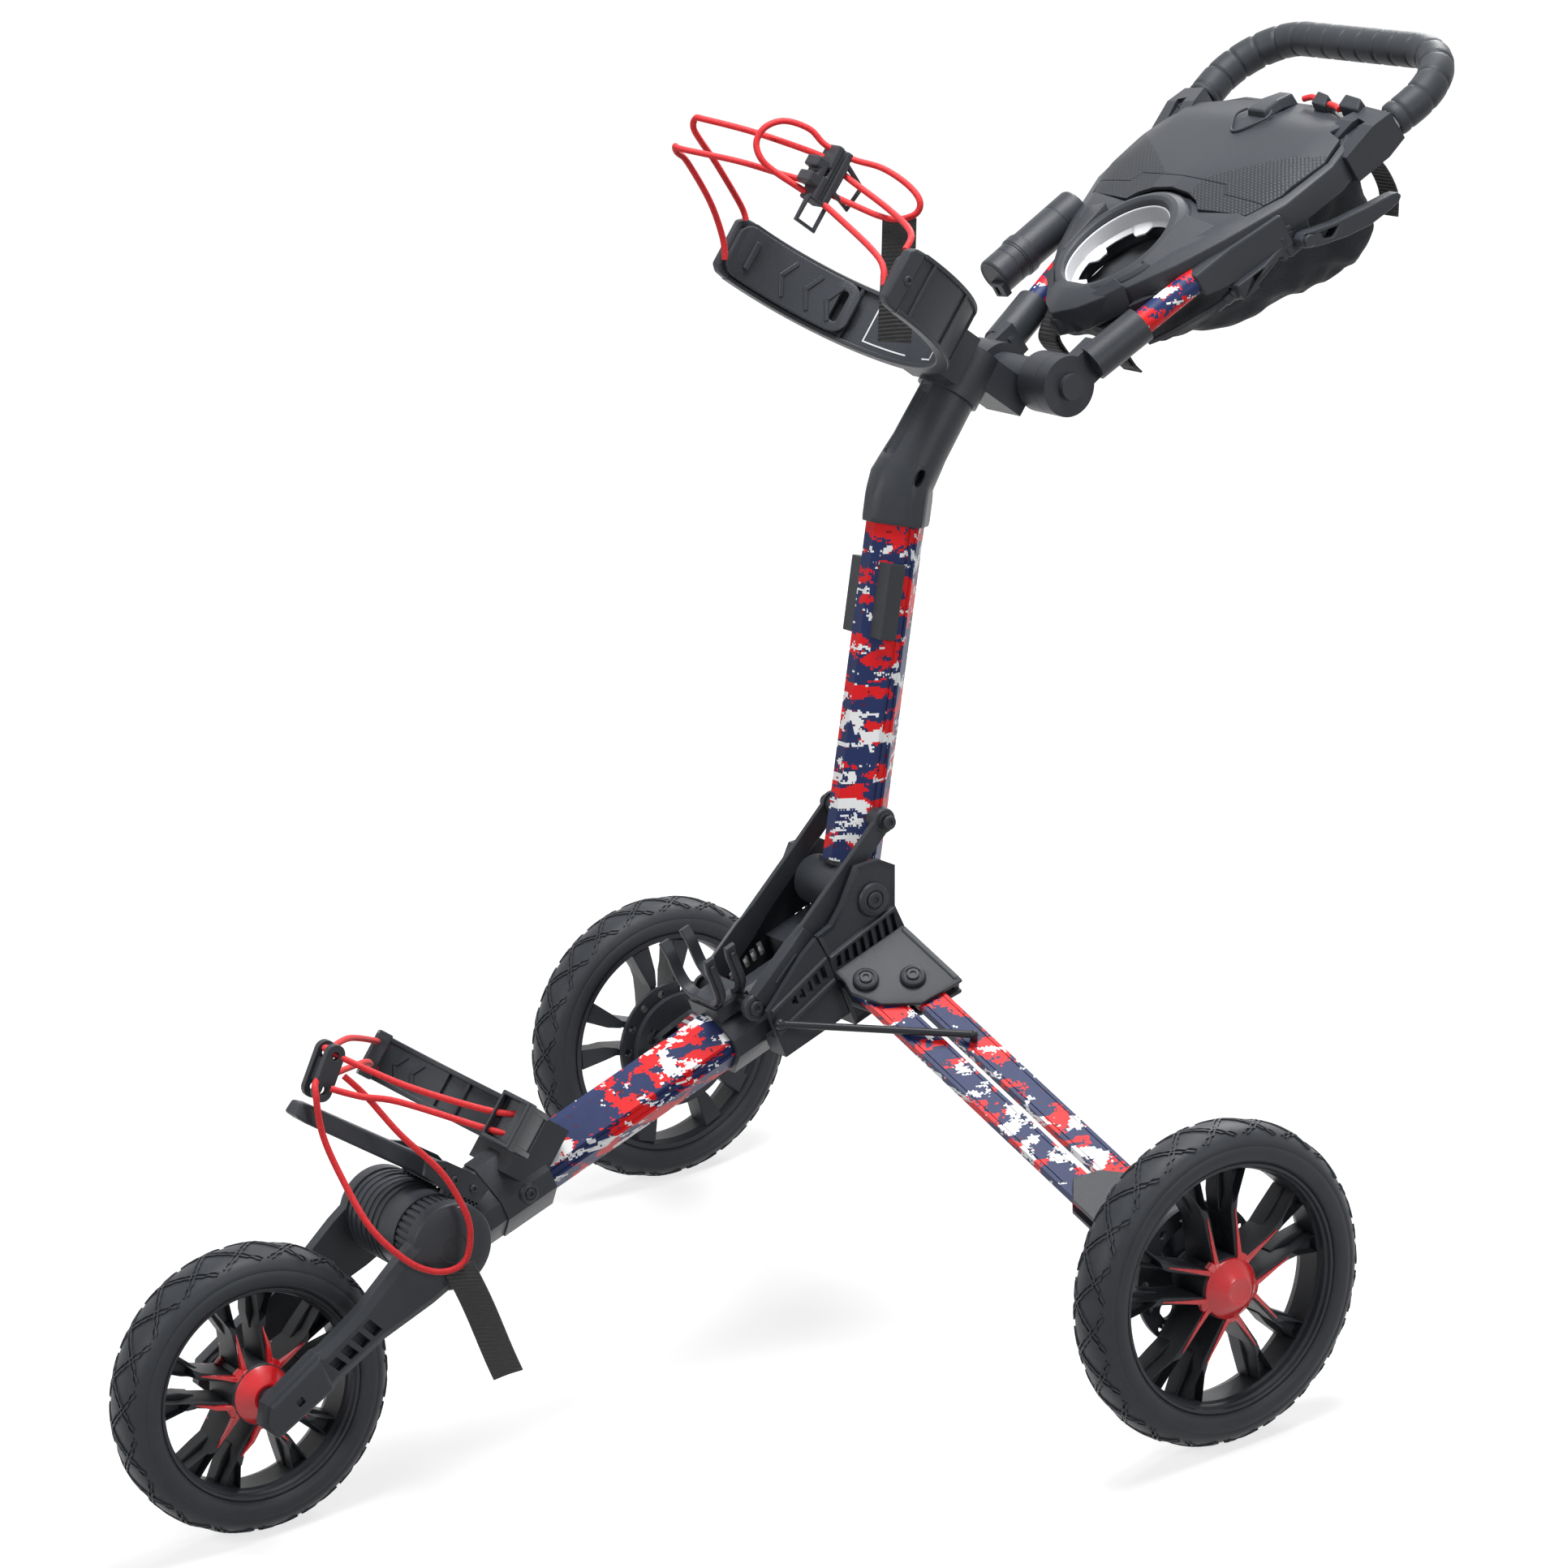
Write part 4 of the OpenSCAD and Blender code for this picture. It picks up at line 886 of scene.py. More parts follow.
hub = {"outline": [(0.015, 0.091), (0.037, 0.085), (0.049, 0.072), (0.035, 0.04), (0.0365, 0.012),
                   (0.039, 0.002), (0.036, -0.034), (-0.041, -0.034), (-0.041, 0.038), (-0.043, 0.057),
                   (-0.027, 0.058), (-0.011, 0.068)],
       "inner": 0.046, "thick": 0.006, "pivot": (0.01784, 0.05624, 0.0081), "louvres": 8,
       "louvreFrom": (-0.036, 0.021, 0.031), "louvreStep": (0.0086, -0.001, 0.0006),
       "ridges": ((0.033, 0.0385, 0.0024), (0.014, 0.01, 0.0018)), "ridgeHalf": (0.003, 0.0016),
       "flange": [(-0.086, -0.0304), (-0.073, -0.0304), (-0.06, -0.034), (-0.035, -0.022), (-0.014, 0.004),
                  (-0.01, 0.046), (-0.086, 0.046)],
       "flangeThick": 0.0045, "half": 0.00515, "skirt": (-0.084, -0.0135, 0.04, 0.0465),
       "screws": ((-0.062, -0.016), (-0.039, 0.016))}


def makeHubWall(h):
    wall = raiseTop(plate(h["outline"], h["thick"]), 0.0045, -0.0012)
    for k in range(h["louvres"]):
        y, low, high = (a + step * k for a, step in zip(h["louvreFrom"], h["louvreStep"]))
        slit = [(y, low), (y + 0.005, low), (y + 0.0075, high), (y + 0.0025, high)]
        cutAway(wall, plate(slit, 0.02, -0.005))
    parts = [soften(wall, 0.0012)]
    foot, crest = h["ridgeHalf"]
    base = h["thick"] - 0.002
    for low, high, rise in h["ridges"]:
        top = h["thick"] + rise
        rows = ((-0.0405, low), (-0.004, (low + high) / 2), (0.033, high))
        ridge = spar([[(y, z - foot, base), (y, z + foot, base), (y, z + crest, top), (y, z - crest, top)]
                      for y, z in rows])
        parts.append(soften(ridge, 0.0008))
    parts.append(settle(boltHead(0.0072, 0.015), shift(*h["pivot"])))
    return settle(join(parts), tubeFrame @ shift(h["inner"], 0, 0) @ sideways)


def makeHubPlate(h):
    wall = makeHubWall(h)
    outside = h["half"] + h["flangeThick"]
    left, right, front, back = h["skirt"]
    top = settle(soften(raiseTop(plate(h["flange"], h["flangeThick"]), 0.005, -0.0011), 0.0014),
                 shift(0, 0, h["half"]))
    low = settle(soften(plate(h["flange"], h["flangeThick"]), 0.0014), shift(0, 0, -outside))
    skirt = soften(block((left, front, -outside), (right, back, outside)), 0.002)
    bolts = [settle(boltHead(0.0058, 0.0112), shift(x, y, outside + 0.0031)) for x, y in h["screws"]]
    return join([wall, settle(join([top, low, skirt] + bolts), legFrame)])


plateLeft = makeHubPlate(hub)
dress(again(plateLeft, flip), "hubPlateRight", "frame", "black_plastic", "hub_plate_right")
dress(plateLeft, "hubPlateLeft", "frame", "black_plastic", "hub_plate_left")


# the sliding collar with its ridges, the fold clip's two jaws and the sleeved links

slide = {"ridges": ((0.0345, 0.021, -0.108), (0.013, 0.001, -0.11)), "ridgeHalf": (0.003, 0.0016),
         "ridgeX": (0.05, 0.053), "ridgeStart": -0.0425}
clip = {"jaw": [(0.0352, 0.088), (0.0334, 0.083), (0.0313, 0.076), (0.0311, 0.062), (0.0296, 0.052),
                (0.024, 0.044), (0.014, 0.0395), (0, 0.038)],
        "jawAt": (-0.1353, -0.1133), "jawSize": (0.01, 0.0042), "ribSize": (0.0036, 0.004),
        "spine": (-0.1403, -0.1083)}
link = {"x": 0.036, "thick": 0.005, "angle": 23.89, "foot": (-0.115, 0.028),
        "bar": ((0.004, 0.0092), (0.08, 0.0092), (0.15, 0.0086), (0.1893, 0.0086)),
        "sleeve": ((0.006, 0.0112, 0.007), (0.02, 0.0122, 0.0084), (0.06, 0.0118, 0.0084),
                   (0.068, 0.0106, 0.0066), (0.078, 0.01, 0.0058)),
        "rib": (0.026, 0.056), "ends": ((0, 0.0114, 0.001), (0.1923, 0.011, 0.0064))}


def makeCollar(s):
    parts = [softCopy("collar", 0.0011)]
    foot, crest = s["ridgeHalf"]
    inside, outside = s["ridgeX"]
    for high, low, end in s["ridges"]:
        for way in (-1, 1):
            ridge = spar([[tubeFrame @ Vector((way * x, y, z + w)) for x, w in
                           ((inside, -foot), (inside, foot), (outside, crest), (outside, -crest))]
                          for y, z in ((s["ridgeStart"], high), (end, low))])
            parts.append(soften(ridge, 0.0008))
    return join(parts)


def makeClip(c):
    path = c["jaw"] + [(-x, z) for x, z in reversed(c["jaw"][:-1])]
    parts = []
    for y in c["jawAt"]:
        jaw = ribbon([(x, y, z) for x, z in path], (0, 1, 0), *c["jawSize"], 4)
        rib = ribbon([(x * 1.07, y, z - 0.0016) for x, z in path[1:-1]], (0, 1, 0), *c["ribSize"], 4)
        parts += [soften(jaw, 0.0012, 2, 35), soften(rib, 0.0008, 2, 35)]
    spine = spar([[(-0.02, y, 0.0359), (0.02, y, 0.0359), (0.014, y, 0.042), (-0.014, y, 0.042)]
                  for y in c["spine"]])
    return settle(join(parts + [soften(spine, 0.0014)]), tubeFrame)


def makeLinks(k):
    thick = k["thick"]
    bar = soften(spar([across(y, 0, thick, -half, half) for y, half in k["bar"]]), 0.001)
    sleeve = spar([[(-0.0002, y, -half), (deep, y, -half * 0.72), (deep, y, half * 0.72),
                    (-0.0002, y, half)] for y, half, deep in k["sleeve"]])
    rib = spar([[(0.004, y, -0.0016), (0.0094, y, -0.001), (0.0094, y, 0.001), (0.004, y, 0.0016)]
                for y in k["rib"]])
    parts = [bar, soften(sleeve, 0.0009, 2, 25), soften(rib, 0.0005, 1, 25)]
    for y, radius, proud in k["ends"]:
        disc = turned([(radius, -0.0001), (radius, thick * 0.8), (radius - 0.0014, thick + 0.0006),
                       (0.0062, thick + 0.0006)], 40, ring=False)
        bolt = settle(boltHead(0.0062), shift(0, 0, thick + proud))
        parts.append(settle(join([soften(disc, 0.0005), bolt]), shift(0, y, 0) @ sideways))
    near = settle(join(parts), tubeFrame @ shift(k["x"], *k["foot"]) @ turn(k["angle"], "X"))
    return join([near, again(near, flip)])


dress(makeCollar(slide), "slideCollar", "collar", "black_plastic", "collar")
dress(makeClip(clip), "foldClip", "collar", "black_plastic", "fold_clip")
dress(makeLinks(link), "foldLinks", "links", "black_plastic", "fold_links")
print("hub and links made")


# the elbow: eight-sided over the mast, round at the head, with a recess and grooves on its front

elbow = {"sides": 48, "offset": 0.0095, "flat": 13 / 51,
         "mast": [(0.312, 0.059, 0), (0.316, 0.06, 0), (0.334, 0.06, 0), (0.341, 0.059, 0.15)],
         "head": [(0.0015, 0.058, 0.4, -9), (0.01, 0.0555, 0.65, -3), (0.022, 0.0525, 0.9, 0),
                  (0.034, 0.05, 1, 0), (0.07, 0.049, 1, 0), (0.112, 0.0482, 1, 0)],
         "bore": (0.28, 0.3433, 0.0514), "recess": ((-0.0085, -0.04, 0.014), (0.0085, -0.0195, 0.082)),
         "hole": (-0.004, 0.006), "holeX": (0.019, 0.04), "lipX": 0.0258,
         "groove": ((-0.04, -0.06, -0.0013), (0.002, -0.024, 0.0013)), "grooves": 4,
         "grooveFrom": 0.3175, "groovePitch": 0.0056}


def elbowRing(place, width, roundness, sides=elbow["sides"]):
    ring = []
    h = width / 2
    f = h * elbow["flat"]
    for k in range(sides):
        a = 2 * math.pi * (k + 0.5) / sides
        c, s = math.cos(a), math.sin(a)
        eight = min(h / max(abs(c), 1e-6), h / max(abs(s), 1e-6), (h + f) / (abs(c) + abs(s)))
        radius = eight * (1 - roundness) + h * roundness
        ring.append(place @ Vector((radius * c, radius * s, 0)))
    return ring


def makeElbow(e):
    def onMast(z):
        return mastFrame @ shift(0, e["offset"], z)

    rings = [elbowRing(onMast(z), w, r) for z, w, r in e["mast"]]
    rings += [elbowRing(headFrame @ shift(0, 0, z) @ turn(-lean, "X"), w, r)
              for z, w, r, lean in e["head"]]
    body = soften(spar(rings), 0.001, 2, 32, 24)
    low, high, wide = e["bore"]
    cutAway(body, spar([elbowRing(onMast(z), wide, 0) for z in (low, high)]))
    cutAway(body, settle(soften(block(*e["recess"]), 0.006, 3), headFrame))

    def oval(x, stretch):
        return headFrame @ shift(x, *e["hole"]) @ turn(90, "Y") @ Matrix.Diagonal((stretch, 1, 1, 1))

    cutAway(body, spar([elbowRing(oval(x, 1.9), 0.0085, 1, 24) for x in e["holeX"]]))
    lip = turned([(0.0046, 0), (0.0072, 0), (0.0066, 0.0022), (0.005, 0.0022)], 32)
    settle(lip, oval(e["lipX"], 1.65))
    for k in range(e["grooves"]):
        place = onMast(e["grooveFrom"] + e["groovePitch"] * k) @ turn(-30, "Z")
        cutAway(body, settle(block(*e["groove"]), place))
    return join([body, lip])


dress(makeElbow(elbow), "elbowSleeve", "mast", "black_plastic", "elbow_sleeve")
print("elbow made")


# the upper cradle: a half ring with rims and stays, soft pads and a bare panel with a pale edge

upper = {"radius": 0.128, "high": 0.054, "place": headFrame @ shift(0, -0.170, 0.084), "rim": 0.0022,
         "stays": (6, 30, 52, 128, 150), "chevrons": (161, 149, 139), "panel": (78, 118), "gusset": 0.03,
         "pad": {"inner": 0.1135, "outer": 0.1188, "low": 0.004, "high": 0.05, "round": 0.014, "tip": 0.0145,
                 "slot": ((-0.02, -0.0034, 0.013), (0.02, 0.0034, 0.041)), "slotAt": 47, "reach": 54,
                 "toggle": ((-0.003, -0.003, 0.014), (0.0005, 0.003, 0.04)), "toggleAt": 3,
                 "bar": ((-0.0013, -0.002, -0.001), (0.0012, 0.002, 0.0185)), "barTilt": 28}}


def makeUpperCradle(u):
    r, w = u["radius"], u["high"]
    parts = [soften(arcBand((r - 0.005, r), (0.002, w - 0.002), (0, 180), 60), 0.0008, 1, 40)]
    for low in (0, w - 0.004):
        rim = arcBand((r - 0.009, r + u["rim"]), (low, low + 0.004), (0, 180), 60)
        parts.append(soften(rim, 0.001, 2, 40))
    for angle in u["stays"]:
        stay = soften(block((-0.0085, -0.0017, 0.002), (u["rim"], 0.0017, w - 0.002)), 0.0008, 1)
        parts.append(settle(stay, turn(angle, "Z") @ shift(r, 0, 0)))
    for way in (1, -1):
        end = spar([across(y, r - 0.009, r + 0.0015, low, w - low)
                    for y, low in ((0.0005, 0), (-0.01, 0.001), (-0.016, 0.006))])
        settle(soften(end, 0.0022, 3), Matrix.Scale(way, 4, (1, 0, 0)))
        knob = settle(screwHead(0, 0, 0, 0.0042), turn(90 - 90 * way, "Z")
                      @ shift(r + 0.001, -0.004 * way, w / 2) @ turn(90, "Y"))
        parts += [cleanNormals(end), knob]
    gusset = spar([across(y, -u["gusset"], u["gusset"], low, high)
                   for y, low, high in ((0.122, 0, w), (0.1285, 0.003, 0.048))])
    return settle(join(parts + [soften(gusset, 0.002)]), u["place"])


def padRows(p):
    # cross sections along the pad: a round tip on the straight end, the arc, a round end
    mid, full = (p["low"] + p["high"]) / 2, (p["high"] - p["low"]) / 2

    def row(half, angle=0.0, straight=0.0):
        corners = ((p["inner"], -half), (p["outer"], -half), (p["outer"], half), (p["inner"], half))
        if straight:
            return [Vector((r, -straight, mid + z)) for r, z in corners]
        return [polar(r, angle, mid + z) for r, z in corners]

    ends = [(d, full - p["round"] + math.sqrt(max(0, p["round"] ** 2 - (p["round"] - d) ** 2)))
            for d in (0.0004, 0.0015, 0.004, 0.008, p["round"])]
    rows = [row(half, straight=p["tip"] - d) for d, half in ends]
    rows += [row(full, a) for a in range(3, 46, 3)]
    return rows + [row(half, p["reach"] - math.degrees(d / p["inner"])) for d, half in reversed(ends)]


def makePad(u, near):
    p = u["pad"]

    def onRing(angle, height=0.0):
        return turn(angle if near else 180 - angle, "Z") @ shift(p["inner"], 0, height)

    rows = padRows(p)
    if not near:
        rows = [[(-x, y, z) for x, y, z in row] for row in rows]
    pad = spar(rows)
    slot = settle(soften(block(*p["slot"]), 0.003, 3), onRing(p["slotAt"]))
    parts = [soften(cutAway(pad, slot), 0.0016, 3, 40)]
    for angle in u["chevrons"]:
        for tilt in (180 - p["barTilt"], p["barTilt"]):
            bar = soften(block(*p["bar"]), 0.0006, 1)
            parts.append(settle(bar, onRing(180 - angle, 0.027) @ turn(tilt, "X")))
    toggle = soften(block(*p["toggle"]), 0.0012)
    parts.append(settle(toggle, onRing(p["toggleAt"])))
    return settle(join(parts), u["place"])


def panelEdge(u):
    # four thin strips round a bare patch inside the ring
    first, last = u["panel"]
    skin = (u["radius"] - 0.0054, u["radius"] - 0.0051)
    strips = [arcBand(skin, (z, z + 0.0013), (first, last), 18) for z in (0.009, 0.044)]
    strips += [arcBand(skin, (0.009, 0.0453), (a, a + 0.6), 1) for a in (first, last)]
    return settle(join(strips), u["place"])


dress(makeUpperCradle(upper), "upperCradle", "mast", "black_plastic", "upper_cradle")
pads = join([makePad(upper, False), makePad(upper, True)])
dress(pads, "cradlePads", "mast", "black_plastic", "cradle_pads")
dress(panelEdge(upper), "panelEdge", "mast", "black_plastic", finish=palePlastic)
print("upper cradle made")


# the lower cradle: a wide channel on a saddle, a pocket at each end, and the bag ledge

lower = {"radius": 0.138, "high": 0.038, "place": lowerFrame @ shift(0, -0.164, 0.024), "ends": (30, 150),
         "stays": (48, 66, 90, 114), "chevrons": (143, 136), "barTilt": 30,
         "bar": ((-0.0012, -0.0018, -0.001), (0.0012, 0.0018, 0.0135)), "bolt": (0.0366, -0.363, 0.002)}


def makeLowerCradle(c):
    r, w = c["radius"], c["high"]
    parts = []
    for low in (0, w - 0.004):
        rim = arcBand((r - 0.0094, r + 0.0016), (low - 0.0003, low + 0.0043), c["ends"], 44)
        parts.append(soften(rim, 0.001, 2, 40))
    for angle in c["stays"]:
        stay = soften(block((-0.0088, -0.0016, 0.003), (0.0014, 0.0016, w - 0.003)), 0.0008, 1)
        parts.append(settle(stay, turn(angle, "Z") @ shift(r, 0, 0)))
    for angle in c["chevrons"]:
        for tilt in (180 - c["barTilt"], c["barTilt"]):
            bar = soften(block(*c["bar"]), 0.0006, 1)
            parts.append(settle(bar, turn(angle, "Z") @ shift(r - 0.0088, 0, w / 2) @ turn(tilt, "X")))
    for angle, way in zip(c["ends"], (1, -1)):
        pocket = block((-0.026, -0.006, -0.0015), (0.002, 0.006, w + 0.0015))
        cutAway(pocket, block((-0.0235, -0.02, 0.002), (-0.002, 0.0035, w - 0.002)))
        settle(soften(pocket, 0.001), turn(angle - way * 1.5, "Z") @ shift(r, 0, 0)
               @ Matrix.Scale(way, 4, (0, 1, 0)))
        parts.append(cleanNormals(pocket))
    trim = settle(join(parts), c["place"])
    x, y, z = c["bolt"]
    bolts = [settle(boltHead(0.0044, 0.009), tubeFrame @ shift(way * x, y, z) @ turn(way * 90, "Y"))
             for way in (-1, 1)]
    return join([softCopy("lower_cradle", 0.001), trim] + bolts)


ledge = {"place": tubeFrame @ shift(0, -0.400, 0.026) @ turn(-54.5, "X"), "teeth": 9, "pitch": 0.0042,
         "bar": [(-0.006, 0.015, 0.009), (-0.04, 0.015, 0.009), (-0.06, 0.0135, 0.008),
                 (-0.166, 0.0125, 0.0074), (-0.176, 0.011, 0.0058)],
         "base": [(0, -0.01), (0.004, 0.006), (-0.012, 0.012), (-0.044, 0.012), (-0.062, 0.006),
                  (-0.058, -0.006), (-0.034, -0.01)],
         "hole": [(-0.05, 0.001), (-0.043, 0.0075), (-0.041, -0.002)],
         "tooth": ((-0.036, -0.0135, 0), (-0.0334, -0.0085, 0.004)), "cheekX": 0.0305, "cheekThick": 0.004,
         "screws": (-0.03, -0.01)}


def makeLedgeSide(g):
    cheek = plate(g["base"], g["cheekThick"])
    soften(cutAway(cheek, plate(g["hole"], 0.02, -0.005)), 0.0012)
    teeth = [settle(block(*g["tooth"]), shift(g["pitch"] * k, 0, 0)) for k in range(g["teeth"])]
    screws = [screwHead(y, 0.001, g["cheekThick"], 0.0036) for y in g["screws"]]
    return settle(join([cheek] + teeth + screws), shift(g["cheekX"], 0, 0) @ sideways)


def makeLedge(g):
    body = softCopy("bag_ledge", 0.0012)
    cutAway(body, settle(block((-0.06, -0.3, -0.06), (0.06, -0.037, 0.06)), g["place"]))
    bar = spar([[(-half, y, -thick), (half, y, -thick), (half - 0.003, y, thick),
                 (0.003 - half, y, thick)] for y, half, thick in g["bar"]])
    side = makeLedgeSide(g)
    top = join([soften(bar, 0.0022, 2, 25), again(side, flip), side])
    return join([body, settle(top, g["place"])])


dress(makeLowerCradle(lower), "lowerCradle", "frame", "black_plastic", "lower_cradle")
dress(makeLedge(ledge), "bagLedge", "frame", "black_plastic", "bag_ledge")
print("lower cradle and ledge made")


# the fork: bevelled arms with slots, a disc over the drum and a stepped cap over the axle

fork = {"inner": 0.0505, "thick": 0.0110, "cap": 0.0365, "fins": 6, "slots": 4,
        "slotFrom": (-0.086, 0.0075), "slotStep": (-0.0132, -0.001),
        "outline": [(0.009, 0.03), (-0.04, 0.026), (-0.09, 0.0175), (0.052 - forkLength, 0.016),
                    (0.046 - forkLength, 0.0185), (-0.010 - forkLength, 0.017), (-0.023 - forkLength, 0.004),
                    (-0.019 - forkLength, -0.015), (0.04 - forkLength, -0.0175),
                    (0.046 - forkLength, -0.016), (-0.09, -0.0175), (-0.04, -0.026), (0.009, -0.03)],
        "end": [(0.046, 0.016), (-0.009, 0.0145), (-0.02, 0.003), (-0.0165, -0.0125), (0.04, -0.015)],
        "square": ((0.0088, -0.0042, 0.003), (0.0152, 0.0022, 0.02)),
        "boss": [(0.015, -0.0055), (0.015, 0.004), (0.008, 0.004), (0.008, -0.0055)],
        "fin": [(0.0345, 0), (0.0362, 0.0003), (0.0362, 0.0033), (0.0345, 0.0036)],
        "arrow": [(0.008, 0), (0.003, 0.0036), (0.003, 0.0014), (-0.007, 0.0014), (-0.007, -0.0014),
                  (0.003, -0.0014), (0.003, -0.0036)]}


def makeForkArm(f):
    arm = raiseTop(plate(f["outline"], f["thick"]), 0.0065, 0.0034)
    for k in range(f["slots"]):
        y, high = (a + step * k for a, step in zip(f["slotFrom"], f["slotStep"]))
        slot = [(y, -0.008), (y - 0.0085, -0.008), (y - 0.0115, high), (y - 0.0035, high)]
        cutAway(arm, plate(slot, 0.02, f["thick"] - 0.004))
    atAxle = shift(-forkLength, 0, 0)
    end = raiseTop(settle(plate(f["end"], 0.006), atAxle), 0.003, 0.0014)
    cutAway(end, settle(block(*f["square"]), atAxle))
    settle(soften(end, 0.0009, 2, 20), shift(0, 0, f["thick"] - 0.0006))
    boss = settle(turned(f["boss"], 40), atAxle)
    cap = f["cap"]
    disc = turned([(cap, -0.0004), (cap, 0.011), (cap - 0.0016, 0.0128), (cap - 0.006, 0.014),
                   (cap - 0.01, 0.0152), (0.012, 0.0158), (0.0112, 0.0154), (0.0008, 0.0154)],
                  72, ring=False)
    arm = settle(join([soften(arm, 0.001, 2, 20), end, boss]), sideways)
    disc = settle(soften(disc, 0.0005, 2, 30, 20), sideways)
    return settle(join([arm, disc]), forkFrame @ shift(f["inner"], 0, 0))


def makeFin(k):
    place = shift(*drum) @ shift(-0.046 + 0.0085 * k, 0, 0) @ turn(90, "Y")
    return settle(soften(turned(fork["fin"], 64), 0.0005, 1), place)


forkNear = makeForkArm(fork)
dress(join([forkNear, again(forkNear, flip)]), "forkArms", "fork", "black_plastic", "fork_arms")
dress(join([makeFin(k) for k in range(fork["fins"])]), "drumFins", "frame", "black_plastic")
arrow = plate(fork["arrow"], 0.0003)
settle(arrow, forkFrame @ shift(fork["inner"] + 0.013, 0.02, 0.0205) @ sideways @ turn(20, "Z"))
dress(arrow, "drumArrow", "fork", "black_plastic", finish=palePlastic)
print("fork made")


# the console: shell, hood with its cup ring, lid, clamps, gills and the lever's bracket

console = {
    "outline": [(0, 0), (0.022, 0.012), (0.05, 0.04), (0.084, 0.082), (0.107, 0.122), (0.131, 0.174),
                (0.136, 0.228), (0.125, 0.264), (0.107, 0.286), (0.06, 0.304)],
    "lid": [(0, 0.1605), (0.024, 0.1585), (0.04, 0.1525), (0.05, 0.144), (0.106, 0.15), (0.122, 0.18),
            (0.128, 0.228), (0.118, 0.259), (0.101, 0.28), (0.056, 0.297)],
    "tray": [(0.108, 0.178), (0.116, 0.186), (0.12, 0.224), (0.1, 0.27), (0.056, 0.29)], "trayLow": -0.0205,
    "deep": 0.024, "shoulder": (0.017, 0.007), "belly": (0.01, -0.0006), "seam": 0.001,
    "cup": (0, 0.087), "cupHalf": (0.0455, 0.0525), "ring": (0.0462, 0.041, 0.032), "tabs": 6,
    "hood": [(0.0455, -0.022), (0.047, 0.01), (0.0486, 0.014), (0.052, 0.016), (0.0565, 0.015),
             (0.062, 0.012), (0.066, 0.007), (0.0672, -0.006)],
    "hoodLow": 0.42, "hoodThin": 0.55,
    "prow": [((0.032, 0.036, -0.014), (0.024, 0.036, 0.0062)),
             ((0.014, 0.014, -0.021), (0.008, 0.016, 0.002)),
             ((0.003, -0.003, -0.022), (0.002, -0.001, -0.007))],
    "hooks": ((0.058, 0.01), (0.098, 0.014)),
}
flank = {
    "edges": (("facet", 0.0014), ("cheek", 0.001), ("skirt", 0.0018)),
    "facet": [
        ((0.05, 0.122, -0.004), (0.104, 0.126, -0.02), (0.1, 0.13, 0.004), (0.056, 0.128, 0.0165)),
        ((0.048, 0.058, -0.004), (0.077, 0.062, -0.024), (0.072, 0.066, -0.008), (0.055, 0.07, 0.0105))],
    "cheek": [
        ((0.034, 0.036, -0.016), (0.056, 0.04, -0.02), (0.056, 0.044, 0.004), (0.043, 0.046, 0.009)),
        ((0.004, 0.004, -0.022), (0.014, 0.006, -0.024), (0.01, 0.006, -0.006), (0.005, 0.006, -0.003))],
    "skirt": [
        ((0.092, 0.084, -0.03), (0.101, 0.084, -0.032), (0.098, 0.084, -0.012), (0.086, 0.084, -0.01)),
        ((0.103, 0.12, -0.036), (0.114, 0.12, -0.038), (0.109, 0.12, -0.008), (0.098, 0.12, -0.004)),
        ((0.122, 0.166, -0.034), (0.131, 0.166, -0.034), (0.131, 0.166, -0.004), (0.12, 0.166, -0.002))],
    "gill": [(0.056, 0.038), (0.084, 0.07), (0.098, 0.1), (0.084, 0.106), (0.052, 0.056)],
    "gillSize": (0.013, -0.027), "slits": 4, "slit": ((-0.012, -0.0014, -0.004), (0.012, 0.0014, 0.02)),
    "slitAt": (0.069, 0.058, -0.0155), "slitStep": (0.0065, 0.0105), "slitTurn": 24,
    "clamp": [
        ((0.09, 0.298, -0.016), (0.136, 0.298, -0.016), (0.136, 0.298, 0.01), (0.09, 0.298, 0.013)),
        ((0.1, 0.332, -0.016), (0.142, 0.332, -0.016), (0.141, 0.332, 0.017), (0.1, 0.332, 0.021)),
        ((0.11, 0.354, -0.013), (0.142, 0.354, -0.013), (0.141, 0.354, 0.014), (0.11, 0.354, 0.018))],
    "recess": ((-0.0055, -0.015, -0.004), (0.0055, 0.015, 0.02)), "recessAt": (0.1195, 0.322, 0.0165),
    "recessTurn": -14, "screws": ((0.1165, 0.311), (0.123, 0.333)), "screw": (0.0126, 0.0042),
}
bracket = {
    "base": [
        ((0.11, 0.156, -0.02), (0.1288, 0.156, -0.022), (0.1288, 0.158, -0.044), (0.112, 0.158, -0.044)),
        ((0.11, 0.19, -0.02), (0.1288, 0.19, -0.022), (0.1288, 0.186, -0.044), (0.112, 0.186, -0.044))],
    "cap": [(0.0085, 0), (0.0085, 0.0035), (0.007, 0.005), (0.0028, 0.005)], "capAt": (0.121, 0.17, -0.0215),
    "pin": [(0.003, 0), (0.003, 0.0143), (0.0055, 0.0143), (0.0055, 0.0163), (0.0045, 0.0172)],
    "pinAt": (0.128, 0.172, -0.034),
    "arm": [(0.16, 0.113, 0.127, -0.042, -0.029), (0.132, 0.114, 0.1255, -0.047, -0.033),
            (0.106, 0.104, 0.116, -0.051, -0.036)],
    "slot": ((0.117, 0.122, -0.06), (0.14, 0.152, -0.037)),
    "barrel": [(0.0045, 0), (0.0062, 0.001), (0.0062, 0.009), (0.0048, 0.0105), (0.0048, 0.017),
               (0.0036, 0.0185), (0.0036, 0.027)],
    "barrelAt": (0.107, 0.114, -0.0445), "barrelWay": (-0.01, -0.018, -0.005),
}


